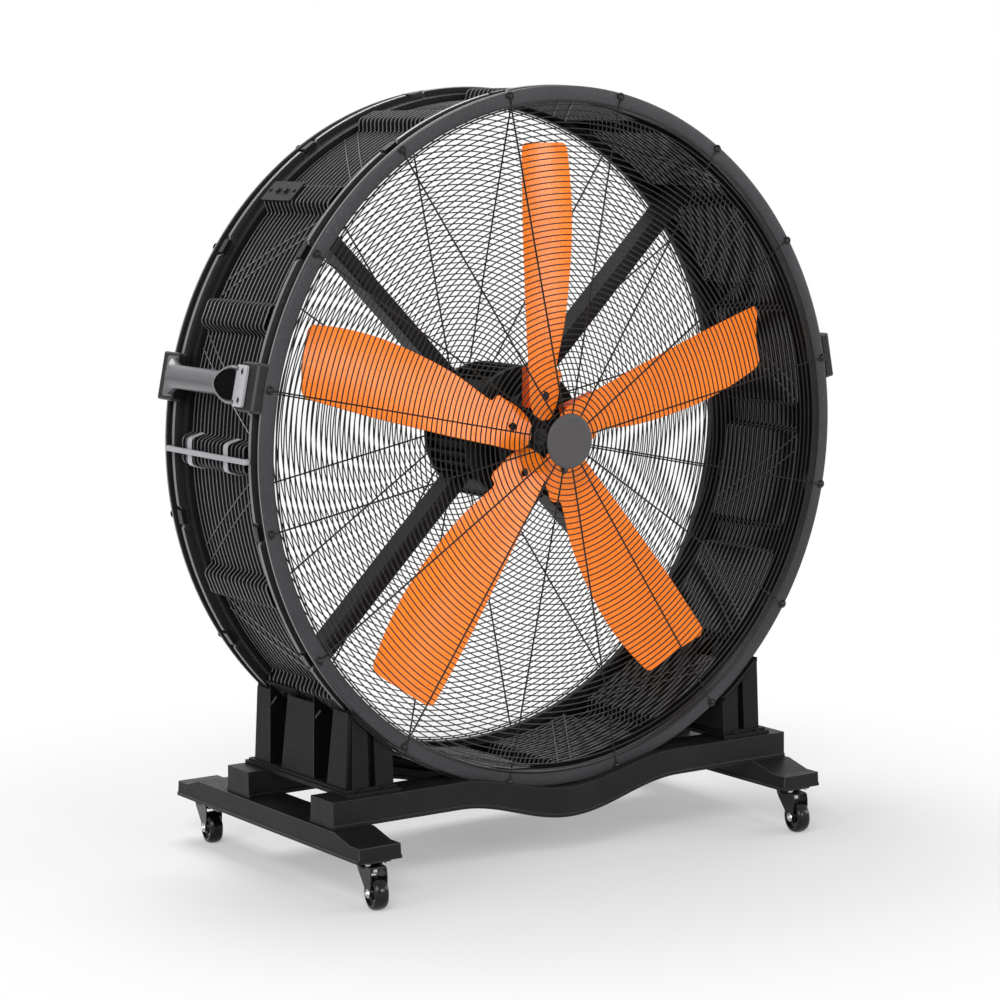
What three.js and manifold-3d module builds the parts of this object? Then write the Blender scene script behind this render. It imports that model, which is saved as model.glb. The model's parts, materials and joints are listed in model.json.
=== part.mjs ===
// A drum fan on casters: a thin drum wall ribbed with hoop wires between two steel end rings,
// a five-bladed impeller on a motor held by four arms, two carrying handles, and a low base.
// Millimetres, +Z up, X to the right, +Y to the back; the fan blows toward -Y.
// The origin is on the floor, under the middle of the whole outline.

import * as THREE from 'three';
import { mergeGeometries, mergeVertices } from 'three/addons/utils/BufferGeometryUtils.js';
import Module from 'manifold-3d';

const wasm = await Module();
wasm.setup();

// Clearances
const GAP = 0.3;                    // between two pieces that rest on each other
const RUNNING_GAP = 0.3;            // between a turning piece and what guides it
const PANEL_JOINT = 0.6;            // between the ends of two side wall panels
const BOLT_SIDES = 6;
const WELD = 0.2;                   // how far two joined shapes run into each other

// Drum
const DRUM_RADIUS = 800;            // outer edge of an end ring
const DRUM_HALF_DEPTH = 212;        // middle plane to the front of a ring's face
const PERIODS = 16;                 // screws, spokes and humps around the drum
const RING_SHEET = 4;
const RING_FACE_WIDTH = 36;
const RING_LIP_DEPTH = 22;          // turned-in edge round the opening
const RING_GROOVE_DEPTH = 14;       // groove behind the face
const RING_BEAD_RISE = 2.4;         // how far the rolled bead stands over the face's edge
const RING_BEAD_WIDTH = 12;
const RING_BEAD_SETBACK = 38;       // front of the face to the front of the bead
const RING_FACETS = 40;

// Side wall, a thin skin ribbed with hoop wires
const WIRE = 3;
const WALL_SHEET = 1.6;
const WALL_INSET = 22;              // centre line of the wall wires inside the drum radius
const WALL_WIRES = 4;
const WALL_HALF_SPAN = 132.8;       // middle plane to the last wire
const HUMP_HEIGHT = 32;
const HUMP_TOP_WIDTH = 40;
const HUMP_SLOPE_WIDTH = 26;
const HUMP_MARGIN = 0.8;            // degrees between a hump's foot and a panel's end
const WALL_PANELS = 4;

// Guards
const GUARD_WIRE = 3;
const SPOKE_WIDTH = 5;
const GUARD_RINGS = 6;
const GUARD_RIM_INSET = 38;         // outer guard ring inside the drum radius
const GUARD_RISE = 14.4;            // how far the front guard's middle stands forward
const GUARD_CENTRE_RADIUS = 58;
const GUARD_CENTRE_BAND = 12;
const SPOKE_INSET = 8;              // spoke ends inside the drum radius
const TAB_WIDTH = 12;
const COVER_DISC_RADIUS = 63;
const COVER_DISC_THICKNESS = 6;

// Motor
const MOTOR_RADIUS = 160;
const MOTOR_FRONT = -60;            // front of the front shield's rim
const SHIELD_RIM = 20;
const SHIELD_NOSE = 12;             // how far the bearing boss stands out
const BEARING_BOSS_RADIUS = 48;
const MOTOR_BODY_LENGTH = 152;
const MOTOR_BORE = 128;
const BORE_FACETS = 20;
const FIN_HEIGHT = 12;
const FINS_PER_QUARTER = 4;
const FIN_DEGREES = 4;
const ARM_PAD_WIDTH = 46;
const STATOR_LENGTH = 120;
const ROTOR_CORE_RADIUS = 80;
const AIR_GAP = 0.8;
const BEARING_RADIUS = 26;
const BEARING_WIDTH = 18;
const SHAFT_RADIUS = 14;
const SHAFT_FRONT = -114;

// Motor arms
const ARM_WIDTH = 38;
const ARM_FRONT = 44;
const ARM_DEPTH = 64;
const ARM_SHEET = 4;
const ARM_BOLT_SPACING = 33.2;
const ARM_BOLT_RADIUS = 4;
const ARM_BOLT_HEAD_RADIUS = 7;
const ARM_BOLT_HEAD_HEIGHT = 5;
const ARM_BOLT_GRIP = 20;           // length of the bolts that go into the motor body
const END_PLATE_WIDTH = 58;
const END_PLATE_LENGTH = 128;
const END_PLATE_THICKNESS = 4;

// Impeller
const BLADES = 5;
const BLADE_TIP = 672;
const BLADE_ROOT = 40;
const BLADE_THICKNESS = 5;
const BLADE_PITCH = 17;             // degrees
const BLADE_CENTRE_Y = -134;        // the blade's front face on its own axis
const BLADE_BEND_FRONT = 54;        // bend line ahead of the blade's own axis
const BLADE_BEND_REAR = 46;         // bend line behind it
const BLADE_BEND = 9;               // degrees that each edge is bent forward
const BLADE_ROOT_WIDTH = 28;
const BLADE_SHOULDER = 110;         // where the root reaches its full width
const BLADE_SHOULDER_WIDTH = 106;
const BLADE_NECK = 160;
const BLADE_NECK_WIDTH = 100;
const BLADE_BELLY = 480;            // where the blade is widest
const BLADE_BELLY_WIDTH = 174;
const BLADE_TIP_WIDTH = 158;
const BLADE_CORNER = 16;
const BLADE_SWEEP = 12;             // how far the belly leans toward the rear edge
const CLAMP_START = 72;
const CLAMP_LENGTH = 93;
const CLAMP_FRONT_SIDE = 50;
const CLAMP_REAR_SIDE = 38;
const CLAMP_SHEET = 4;
const HUB_RADIUS = 112;
const HUB_THICKNESS = 14;
const HUB_FRONT = -112;
const HUB_BOSS_RADIUS = 34;
const HUB_BOSS_LENGTH = 22;
const BLADE_BOLT_PLACE = 96;        // from the shaft's axis
const BLADE_BOLT_RADIUS = 4.7;
const BLADE_BOLT_HEAD = 8;
const BLADE_BOLT_HEAD_HEIGHT = 6;
const BLADE_NUT_HEIGHT = 5;
const HUB_BOLT_SIDE = 28;
const HUB_BOLT_PLACE = 96;
const HUB_BOLT_RADIUS = 3.5;
const HUB_BOLT_HEAD = 6.5;
const HUB_BOLT_HEAD_HEIGHT = 4;
const HUB_BOLT_GRIP = 12;
const CENTRE_SCREW_RADIUS = 5;
const CENTRE_SCREW_HEAD = 11;
const CENTRE_SCREW_HEIGHT = 6;
const CENTRE_WASHER_RADIUS = 20;
const CENTRE_WASHER_THICKNESS = 3;
const CENTRE_SCREW_GRIP = 22;

// Handles, one at each side of the drum
const HANDLE_ANGLE = 11.25;         // degrees above the drum's middle
const HANDLE_TUBE_RADIUS = 26;
const HANDLE_TUBE_WALL = 4;
const HANDLE_REACH = 44;            // tube's centre line outside the drum radius
const HANDLE_HALF_LENGTH = 140;
const HANDLE_BEVEL = 60;            // length of the oblique cut at each end of the tube
const HANDLE_PLATE_THICKNESS = 7;
const HANDLE_PLATE_WIDTH = 41;      // along the drum's depth
const HANDLE_PLATE_LENGTH = 90;
const HANDLE_PLATE_OVERLAP = 8;
const BRACKET_LENGTH = 108;
const BRACKET_DEPTH = 64;
const BRACKET_SETBACK = 4;          // bracket behind the ring's face
const BRACKET_RISE = 24;            // bracket's top outside the drum radius
const HANDLE_SCREW_SPACING = 48;
const HANDLE_SCREW_INSET = 14.6;    // screws past the end of the tube
const HANDLE_SCREW_RADIUS = 3.5;
const HANDLE_SCREW_HEAD = 7;
const HANDLE_SCREW_HEAD_HEIGHT = 4;
const HANDLE_SCREW_GRIP = 12;       // thread inside the bracket

// Tie rod along the left side
const TIE_ROD_WIDTH = 16;
const TIE_ROD_THICKNESS = 8;
const TIE_ROD_FOOT = 10;
const TIE_ROD_OVERHANG = 6;         // past the bead's middle
const CLIP_SPACING = 158;
const CLIP_LENGTH = 18;
const CLIP_SHEET = 2;
const CLIP_FOOT = 10;

// Base
const BASE_SHIFT_Y = -12;           // middle of the base ahead of the drum's middle
const FOOT_CENTRE_X = 598;
const FOOT_WIDTH = 114;
const FOOT_SHEET = 3;
const FOOT_FRONT_REACH = 347;       // from the middle of the base
const FOOT_REAR_REACH = 454;
const FOOT_END_HEIGHT = 34.6;
const FOOT_MIDDLE_HEIGHT = 51.4;
const FOOT_FRONT_PAD = 40;
const FOOT_REAR_PAD = 45;
const FOOT_FRONT_RAMP = 65;
const FOOT_REAR_RAMP = 52;
const FOOT_FLOOR_LENGTH = 118;      // closed underside that carries a caster
const BEAM_HALF_LENGTH = 644;
const BEAM_WIDTH = 101;
const BEAM_HEIGHT = 61;
const BEAM_SHEET = 3;
const BEAM_PLACE = 182.5;           // middle of a beam from the middle of the base
const BEAM_DIP_HALF_WIDTH = 312;
const BEAM_TOP_DIP = 50;
const BEAM_BOTTOM_DIP = 58;
const BEAM_STEPS = 10;
const DRUM_SINK = 51.2;             // how far the drum hangs below the beams' top
const NEST_FACETS = 48;
const NEST_GAP = 4;                 // around the drum in its pockets
const PLATE_NEST_GAP = 3;
const SADDLE_INNER_X = 472;
const SADDLE_OUTER_X = 592;
const SADDLE_LEAN = 16;
const SADDLE_HALF_LENGTH = 207;
const SADDLE_FLANGE = 9;
const SADDLE_FLANGE_SIDE = 10;
const SADDLE_FLANGE_END = 15;
const SADDLE_WALL = 6;
const SADDLE_CAVITY_HEIGHT = 58;
const SADDLE_NEST_MARGIN = 3.2;     // degrees between a hump's foot and the room for it
const NEST_END_ROOM = 16;           // room past the last wall wire
const PAD_THICKNESS = 8;
const PAD_WEB = 18;                 // strip that joins the pad's two ends
const RECESS_DEPTH = 32;
const RECESS_LENGTH = 62;
const RECESS_PLACE = 91;            // recess middle from the saddle's middle
const RECESS_TOP_WALL = 12;
const END_GROOVE_WIDTH = 22;
const END_GROOVE_DEPTH = 20;
const BASE_BOLT_SPACING = 66;
const BASE_BOLT_RADIUS = 3.5;
const BASE_BOLT_HEAD = 6.5;
const BASE_BOLT_HEAD_HEIGHT = 5;

// Casters
const CASTER_HEIGHT = 106;
const CASTER_FRONT_INSET = 41;      // swivel axis behind the front end of a foot
const CASTER_REAR_INSET = 42;
const CASTER_TURN = 9.7;            // degrees, how the four casters stand
const PLATE_LENGTH = 76;
const PLATE_WIDTH = 64;
const PLATE_THICKNESS = 3;
const RACE_RADIUS = 22;
const RACE_HEIGHT = 7;
const FORK_TOP_RADIUS = 27;
const FORK_TOP_THICKNESS = 7;
const FORK_LEG = 3;
const FORK_SIDE_GAP = 2;
const WHEEL_RADIUS = 37.5;
const WHEEL_WIDTH = 24;
const WHEEL_EDGE = 5;
const WHEEL_FACETS = 20;
const WHEEL_TRAIL = 34;
const AXLE_RADIUS = 5;
const AXLE_HEAD_RADIUS = 8;
const AXLE_HEAD_HEIGHT = 5;

// Places that follow from the sizes above
const WALL_RADIUS = DRUM_RADIUS - WALL_INSET;
const HUMP_RADIUS = WALL_RADIUS + HUMP_HEIGHT;
const HUMP_TOP = HUMP_RADIUS + WIRE / 2;
const BEAD_RADIUS = DRUM_RADIUS + RING_BEAD_RISE;
const BEAD_MIDDLE = DRUM_HALF_DEPTH - RING_BEAD_SETBACK - RING_BEAD_WIDTH / 2;
const BAND_END = WALL_HALF_SPAN + WIRE / 2 + GAP;
const SPOKE_END = DRUM_RADIUS - SPOKE_INSET;
const GUARD_BACK = DRUM_HALF_DEPTH + GAP;
const FOOT_BOTTOM = CASTER_HEIGHT;
const BEAM_BOTTOM = FOOT_BOTTOM + FOOT_MIDDLE_HEIGHT + GAP;
const BEAM_TOP = BEAM_BOTTOM + BEAM_HEIGHT;
const DRUM_CENTRE_Z = BEAM_TOP + DRUM_RADIUS - DRUM_SINK;
const ARM_OUTER = HUMP_RADIUS - WIRE / 2 - GAP;
const ARM_INNER = MOTOR_RADIUS + GAP;
const ARM_MIDDLE_Y = ARM_FRONT + ARM_DEPTH / 2;
const END_PLATE_OUTSIDE = HUMP_TOP + GAP + END_PLATE_THICKNESS;
const BRACKET_TOP = DRUM_RADIUS + BRACKET_RISE;
const BODY_FRONT = MOTOR_FRONT + SHIELD_RIM + GAP;
const BODY_REAR = BODY_FRONT + MOTOR_BODY_LENGTH;
const NEST_RADIUS = BEAD_RADIUS + NEST_GAP;
const HUMP_NEST_RADIUS = END_PLATE_OUTSIDE + ARM_BOLT_HEAD_HEIGHT + PLATE_NEST_GAP;
const PITCH_SLOPE = Math.tan(THREE.MathUtils.degToRad(BLADE_PITCH));
const BEND_SLOPE = Math.tan(THREE.MathUtils.degToRad(BLADE_BEND));
const STEP = 360 / PERIODS;

// ---------- Geometry helpers ----------

// Positions only, shared vertices merged, no collapsed triangles.
function clean(geometry) {
  const bare = geometry.clone();
  bare.deleteAttribute('normal');
  bare.deleteAttribute('uv');
  const merged = mergeVertices(bare, 1e-4);
  const old = merged.index.array;
  const kept = [];
  for (let i = 0; i < old.length; i += 3) {
    const [a, b, c] = [old[i], old[i + 1], old[i + 2]];
    if (a !== b && b !== c && c !== a) kept.push(a, b, c);
  }
  merged.setIndex(kept);
  return merged;
}

function toSolid(geometry) {
  const closed = clean(geometry);
  const vertProperties = new Float32Array(closed.attributes.position.array);
  const triVerts = new Uint32Array(closed.index.array);
  return new wasm.Manifold(new wasm.Mesh({ numProp: 3, vertProperties, triVerts }));
}

function toGeometry(solid) {
  const mesh = solid.getMesh();
  const geometry = new THREE.BufferGeometry();
  geometry.setAttribute('position', new THREE.BufferAttribute(mesh.vertProperties, 3));
  geometry.setIndex(new THREE.BufferAttribute(mesh.triVerts, 1));
  return geometry;
}

function cut(geometry, tools) {
  let solid = toSolid(geometry);
  for (const tool of tools) solid = solid.subtract(toSolid(tool));
  return toGeometry(solid);
}

function join(geometries) {
  let solid = toSolid(geometries[0]);
  for (const other of geometries.slice(1)) solid = solid.add(toSolid(other));
  return toGeometry(solid);
}

// A [radius, y] profile turned round the Y axis, its outer side listed toward +Y.
function turned(profile, facets) {
  const points = profile.map(([radius, y]) => new THREE.Vector2(radius, y));
  return clean(new THREE.LatheGeometry(points, facets));
}

function turnedRing(profile, facets) {
  return turned([...profile, profile[0]], facets);
}

function tube(inner, outer, low, high, facets) {
  return turnedRing([[inner, low], [outer, low], [outer, high], [inner, high]], facets);
}

function disc(radius, low, high, facets) {
  return turned([[0, low], [radius, low], [radius, high], [0, high]], facets);
}

function box(low, high) {
  const size = high.map((value, i) => value - low[i]);
  const middle = high.map((value, i) => (value + low[i]) / 2);
  return clean(new THREE.BoxGeometry(...size).translate(...middle));
}

function shapeOf(points) {
  return new THREE.Shape(points.map(([x, y]) => new THREE.Vector2(x, y)));
}

function extruded(shape, depth) {
  return new THREE.ExtrudeGeometry(shape, { depth, bevelEnabled: false });
}

// An outline drawn in X and Z, carried along Y.
function extrudedAlongY(shape, low, high) {
  return clean(extruded(shape, high - low).rotateX(Math.PI / 2).translate(0, high, 0));
}

// An outline drawn in Y and Z, carried along X.
function extrudedAlongX(shape, low, high) {
  const axes = new THREE.Matrix4().makeBasis(
    new THREE.Vector3(0, 1, 0),
    new THREE.Vector3(0, 0, 1),
    new THREE.Vector3(1, 0, 0),
  );
  return clean(extruded(shape, high - low).applyMatrix4(axes).translate(low, 0, 0));
}

// A radius whose facets stay outside the given one.
function around(radius, facets) {
  return radius / Math.cos(Math.PI / facets);
}

function polar(radius, degrees) {
  const angle = THREE.MathUtils.degToRad(degrees);
  return [radius * Math.cos(angle), radius * Math.sin(angle)];
}

// Geometry made on the +X side of the drum, moved round its axis.
function turnedTo(geometry, degrees) {
  return geometry.clone().rotateY(-THREE.MathUtils.degToRad(degrees));
}

// A bolt along Y: its head rests on y = 0 and its shank points to -Y.
function bolt(head, headHeight, shank, length) {
  const profile = [
    [0, -length], [shank, -length], [shank, 0],
    [head, 0], [head, headHeight], [0, headHeight],
  ];
  return turned(profile, BOLT_SIDES);
}

// The same bolt along X, head outward.
function radialBolt(head, headHeight, shank, length, seat, y, z) {
  return bolt(head, headHeight, shank, length).rotateZ(-Math.PI / 2).translate(seat, y, z);
}

function radialHole(radius, low, high, y, z) {
  return disc(around(radius, BOLT_SIDES), low, high, BOLT_SIDES).rotateZ(-Math.PI / 2).translate(0, y, z);
}

function everyStep(count, first = 0) {
  return Array.from({ length: count }, (_, i) => first + (360 / count) * i);
}

// ---------- Materials ----------

function finish(colour, roughness, metalness) {
  return () => new THREE.MeshStandardMaterial({ color: colour, roughness, metalness });
}

const ringPaint = finish(0x3a3a3c, 0.45, 0.5);
const wirePaint = finish(0x151515, 0.5, 0.5);
const discPlastic = finish(0x555558, 0.6, 0.0);
const motorPaint = finish(0x1b1b1c, 0.5, 0.4);
const armPaint = finish(0x2b2b2c, 0.4, 0.5);
const copper = finish(0x9a5a32, 0.5, 0.8);
const steel = finish(0x8f9296, 0.35, 0.9);
const zinc = finish(0xb4b6b8, 0.35, 0.9);
const bladeOrange = finish(0xff8a28, 0.45, 0.0);
const blackHub = finish(0x1c1c1c, 0.5, 0.3);
const handleGrey = finish(0x6f7072, 0.45, 0.4);
const bracketBlack = finish(0x262627, 0.5, 0.2);
const basePlastic = finish(0x262526, 0.55, 0.0);
const rubber = finish(0x141414, 0.9, 0.0);
const casterBlack = finish(0x121213, 0.35, 0.1);

// ---------- Drum ----------

function endRingGeometry() {
  const faceBack = DRUM_HALF_DEPTH - RING_SHEET;
  const faceInner = DRUM_RADIUS - RING_FACE_WIDTH;
  const groove = DRUM_RADIUS - RING_GROOVE_DEPTH;
  const beadLow = BEAD_MIDDLE - RING_BEAD_WIDTH / 2;
  const beadHigh = BEAD_MIDDLE + RING_BEAD_WIDTH / 2;
  const bandInner = WALL_RADIUS + WIRE / 2 + GAP;
  const profile = [
    [bandInner, BAND_END],
    [bandInner + RING_SHEET, BAND_END],
    [bandInner + RING_SHEET, beadLow],
    [BEAD_RADIUS, beadLow + RING_BEAD_WIDTH / 4],
    [BEAD_RADIUS, beadHigh - RING_BEAD_WIDTH / 4],
    [groove, beadHigh],
    [groove, faceBack],
    [DRUM_RADIUS, faceBack],
    [DRUM_RADIUS, DRUM_HALF_DEPTH],
    [faceInner, DRUM_HALF_DEPTH],
    [faceInner, DRUM_HALF_DEPTH - RING_LIP_DEPTH],
    [faceInner + RING_SHEET, DRUM_HALF_DEPTH - RING_LIP_DEPTH],
    [faceInner + RING_SHEET, faceBack],
    [bandInner, faceBack],
  ];
  return turnedRing(profile, RING_FACETS);
}

function addEndRings(drum) {
  addPiece(drum, 'rear_ring', endRingGeometry(), ringPaint);
  const front = addPiece(drum, 'front_ring', endRingGeometry(), ringPaint);
  front.rotation.x = Math.PI;
}

// One guard as an outline in X and Z: a rim, its rings, the spokes and their screw tabs.
function guardOutline() {
  const rim = DRUM_RADIUS - GUARD_RIM_INSET;
  const outline = [];
  for (const angle of everyStep(PERIODS, STEP / 2)) {
    const base = THREE.MathUtils.radToDeg(TAB_WIDTH / 2 / rim);
    const tip = THREE.MathUtils.radToDeg(TAB_WIDTH / 2 / SPOKE_END);
    outline.push(polar(rim, angle - base));
    outline.push(polar(SPOKE_END, angle - tip));
    outline.push(polar(SPOKE_END, angle + tip));
    outline.push(polar(rim, angle + base));
    outline.push(polar(rim, angle + STEP / 2));
  }
  return outline;
}

function guardWindow(inner, outer, angle, innerMiddle, outerMiddle) {
  const innerEdge = THREE.MathUtils.radToDeg(SPOKE_WIDTH / 2 / inner);
  const outerEdge = THREE.MathUtils.radToDeg(SPOKE_WIDTH / 2 / outer);
  const points = [polar(inner, angle + innerEdge)];
  points.push(polar(outer, angle + outerEdge));
  if (outerMiddle) points.push(polar(outer, angle + STEP / 2));
  points.push(polar(outer, angle + STEP - outerEdge));
  points.push(polar(inner, angle + STEP - innerEdge));
  if (innerMiddle) points.push(polar(inner, angle + STEP / 2));
  return new THREE.Path(points.map(([x, y]) => new THREE.Vector2(x, y)));
}

function guardGeometry(rise) {
  const shape = shapeOf(guardOutline());
  const rim = DRUM_RADIUS - GUARD_RIM_INSET - GUARD_WIRE;
  const first = GUARD_CENTRE_RADIUS;
  const pitch = (rim + GUARD_WIRE - first) / GUARD_RINGS;
  for (let row = 0; row < GUARD_RINGS; row += 1) {
    const inner = first + pitch * row;
    const outer = first + pitch * (row + 1) - GUARD_WIRE;
    for (const angle of everyStep(PERIODS, STEP / 2)) {
      shape.holes.push(guardWindow(inner, outer, angle, row > 1, row > 0));
    }
  }
  const eye = everyStep(PERIODS).map((angle) => polar(first - GUARD_CENTRE_BAND, angle));
  shape.holes.push(new THREE.Path(eye.map(([x, y]) => new THREE.Vector2(x, y))));
  const plate = extrudedAlongY(shape, GUARD_BACK, GUARD_BACK + GUARD_WIRE);
  const place = plate.attributes.position;
  for (let i = 0; i < place.count; i += 1) {
    const radius = Math.hypot(place.getX(i), place.getZ(i));
    const lift = rise * Math.max(0, 1 - radius / (DRUM_RADIUS - RING_FACE_WIDTH));
    place.setY(i, place.getY(i) + lift);
  }
  return plate;
}

function addGuards(drum) {
  const front = addPiece(drum, 'front_grille', guardGeometry(GUARD_RISE), wirePaint);
  front.rotation.x = Math.PI;
  addPiece(drum, 'rear_grille', guardGeometry(0), wirePaint);
  const centre = GUARD_CENTRE_RADIUS / (DRUM_RADIUS - RING_FACE_WIDTH);
  const rest = centre * (1 - GUARD_CENTRE_BAND / GUARD_CENTRE_RADIUS);
  const seat = GUARD_BACK + GUARD_WIRE + GUARD_RISE * (1 - rest);
  const cover = disc(COVER_DISC_RADIUS, seat + GAP, seat + GAP + COVER_DISC_THICKNESS, 24);
  addPiece(drum, 'hub_cover_disc', cover.rotateX(Math.PI), discPlastic);
}

// Centre line of a wall wire as [radius, degrees] points over one hump.
function humpPoints(centre) {
  const top = THREE.MathUtils.radToDeg(Math.atan(HUMP_TOP_WIDTH / 2 / HUMP_RADIUS));
  const foot = humpFoot();
  const corner = Math.hypot(HUMP_RADIUS, HUMP_TOP_WIDTH / 2);
  return [
    [WALL_RADIUS, centre - foot],
    [corner, centre - top],
    [corner, centre + top],
    [WALL_RADIUS, centre + foot],
  ];
}

function humpFoot() {
  return THREE.MathUtils.radToDeg(Math.atan((HUMP_TOP_WIDTH / 2 + HUMP_SLOPE_WIDTH) / WALL_RADIUS));
}

// One quarter of the wall seen along the drum's axis, with the given thickness.
function wallShape(start, thickness, endInset) {
  const periods = PERIODS / WALL_PANELS;
  const inset = THREE.MathUtils.radToDeg(endInset / WALL_RADIUS);
  const first = start + humpFoot() + HUMP_MARGIN;
  const line = [[WALL_RADIUS, first + inset]];
  for (let i = 1; i <= periods; i += 1) {
    line.push([WALL_RADIUS, start + STEP * (i - 0.5)]);
    line.push(...humpPoints(start + STEP * i));
  }
  line.push([WALL_RADIUS, first + STEP * periods - inset]);
  const outside = line.map(([radius, angle]) => polar(radius + thickness / 2, angle));
  const inside = line.map(([radius, angle]) => polar(radius - thickness / 2, angle)).reverse();
  return shapeOf([...outside, ...inside]);
}

// Lets the outer arm bolts through the hump in the middle of a panel.
function wallHoles(start) {
  const holes = armBoltPlaces().map((y) => (
    radialHole(ARM_BOLT_RADIUS + GAP, WALL_RADIUS, HUMP_TOP + WIRE, y, 0)
  ));
  return holes.map((hole) => turnedTo(hole, start + 180 / WALL_PANELS));
}

function wallPanelGeometry(start) {
  const hoop = wallShape(start, WIRE, PANEL_JOINT / 2);
  const skin = wallShape(start, WALL_SHEET, PANEL_JOINT / 2 + WELD);
  const pitch = (2 * WALL_HALF_SPAN) / (WALL_WIRES - 1);
  const pieces = [extrudedAlongY(skin, -WALL_HALF_SPAN, WALL_HALF_SPAN)];
  for (let i = 0; i < WALL_WIRES; i += 1) {
    const y = -WALL_HALF_SPAN + pitch * i;
    pieces.push(extrudedAlongY(hoop, y - WIRE / 2, y + WIRE / 2));
  }
  return cut(join(pieces), wallHoles(start));
}

function addSideWall(drum) {
  for (let i = 0; i < WALL_PANELS; i += 1) {
    const start = (360 / WALL_PANELS) * i;
    addPiece(drum, `side_wall_panel_${i + 1}`, wallPanelGeometry(start), wirePaint);
  }
}

// ---------- Motor ----------

function motorBodyGeometry() {
  const padHalf = THREE.MathUtils.radToDeg(Math.atan(ARM_PAD_WIDTH / 2 / MOTOR_RADIUS));
  const padCorner = Math.hypot(MOTOR_RADIUS, ARM_PAD_WIDTH / 2);
  const valley = MOTOR_RADIUS - FIN_HEIGHT;
  const spare = 90 - 2 * padHalf - FINS_PER_QUARTER * FIN_DEGREES;
  const valleyDegrees = spare / (FINS_PER_QUARTER + 1);
  const outline = [];
  for (let quarter = 0; quarter < 4; quarter += 1) {
    const pad = 45 + 90 * quarter;
    outline.push(polar(valley, pad - padHalf), polar(padCorner, pad - padHalf));
    outline.push(polar(padCorner, pad + padHalf), polar(valley, pad + padHalf));
    for (let i = 0; i < FINS_PER_QUARTER; i += 1) {
      const low = pad + padHalf + valleyDegrees + i * (valleyDegrees + FIN_DEGREES);
      outline.push(polar(valley, low), polar(MOTOR_RADIUS, low));
      outline.push(polar(MOTOR_RADIUS, low + FIN_DEGREES), polar(valley, low + FIN_DEGREES));
    }
  }
  const shape = shapeOf(outline);
  const bore = everyStep(BORE_FACETS).map((angle) => polar(MOTOR_BORE, angle));
  shape.holes.push(new THREE.Path(bore.map(([x, y]) => new THREE.Vector2(x, y))));
  const body = extrudedAlongY(shape, BODY_FRONT, BODY_REAR);
  const holes = armAngles().flatMap((angle) => armBoltPlaces().map((y) => {
    const low = MOTOR_RADIUS - ARM_BOLT_GRIP;
    return turnedTo(radialHole(ARM_BOLT_RADIUS + GAP, low, padCorner + 1, y, 0), angle);
  }));
  return cut(body, [mergeGeometries(holes)]);
}

function frontShieldGeometry() {
  const back = MOTOR_FRONT + SHIELD_RIM;
  return turnedRing([
    [BEARING_RADIUS + GAP, MOTOR_FRONT - SHIELD_NOSE],
    [BEARING_BOSS_RADIUS, MOTOR_FRONT - SHIELD_NOSE],
    [MOTOR_RADIUS - SHIELD_RIM, MOTOR_FRONT],
    [MOTOR_RADIUS, MOTOR_FRONT + SHIELD_RIM / 4],
    [MOTOR_RADIUS, back],
    [BEARING_RADIUS + GAP, back],
  ], 24);
}

function rearShieldGeometry() {
  const front = BODY_REAR + GAP;
  const rear = front + SHIELD_RIM;
  const seatEnd = rear - SHIELD_RIM / 4;
  return turned([
    [0, seatEnd + GAP],
    [BEARING_RADIUS + GAP, seatEnd + GAP],
    [BEARING_RADIUS + GAP, front],
    [MOTOR_RADIUS, front],
    [MOTOR_RADIUS, rear - SHIELD_RIM / 4],
    [MOTOR_RADIUS - SHIELD_RIM / 2, rear],
    [0, rear],
  ], 24);
}

// The shaft with the motor's rotor core pressed onto it.
function motorRotorGeometry(coreLow, coreHigh) {
  const screwHole = CENTRE_SCREW_RADIUS + GAP;
  const rear = BODY_REAR + SHIELD_RIM / 2;
  return turned([
    [0, SHAFT_FRONT + CENTRE_SCREW_GRIP + 1],
    [screwHole, SHAFT_FRONT + CENTRE_SCREW_GRIP + 1],
    [screwHole, SHAFT_FRONT],
    [SHAFT_RADIUS, SHAFT_FRONT],
    [SHAFT_RADIUS, coreLow],
    [ROTOR_CORE_RADIUS, coreLow],
    [ROTOR_CORE_RADIUS, coreHigh],
    [SHAFT_RADIUS, coreHigh],
    [SHAFT_RADIUS, rear],
    [0, rear],
  ], 24);
}

function bearingGeometries() {
  const inner = SHAFT_RADIUS + RUNNING_GAP;
  const frontLow = MOTOR_FRONT - SHIELD_NOSE + GAP;
  const rearHigh = BODY_REAR + GAP + SHIELD_RIM * 0.75;
  return [
    tube(inner, BEARING_RADIUS, frontLow, frontLow + BEARING_WIDTH, 16),
    tube(inner, BEARING_RADIUS, rearHigh - BEARING_WIDTH, rearHigh, 16),
  ];
}

function addMotor(drum, impeller) {
  const middle = (BODY_FRONT + BODY_REAR) / 2;
  const low = middle - STATOR_LENGTH / 2;
  const high = middle + STATOR_LENGTH / 2;
  const statorOuter = (MOTOR_BORE - GAP) * Math.cos(Math.PI / BORE_FACETS);
  const statorInner = around(ROTOR_CORE_RADIUS + AIR_GAP, BORE_FACETS);
  addPiece(drum, 'motor_housing', motorBodyGeometry(), motorPaint);
  addPiece(drum, 'motor_front_shield', frontShieldGeometry(), motorPaint);
  addPiece(drum, 'motor_rear_shield', rearShieldGeometry(), motorPaint);
  addPiece(drum, 'motor_stator', tube(statorInner, statorOuter, low, high, BORE_FACETS), copper);
  const [frontBearing, rearBearing] = bearingGeometries();
  addPiece(drum, 'front_bearing', frontBearing, steel);
  addPiece(drum, 'rear_bearing', rearBearing, steel);
  addPiece(impeller, 'motor_rotor', motorRotorGeometry(low, high), steel);
}

// ---------- Motor arms ----------

function armAngles() {
  return everyStep(4, 45);
}

function armBoltPlaces() {
  return [ARM_MIDDLE_Y - ARM_BOLT_SPACING / 2, ARM_MIDDLE_Y + ARM_BOLT_SPACING / 2];
}

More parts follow.
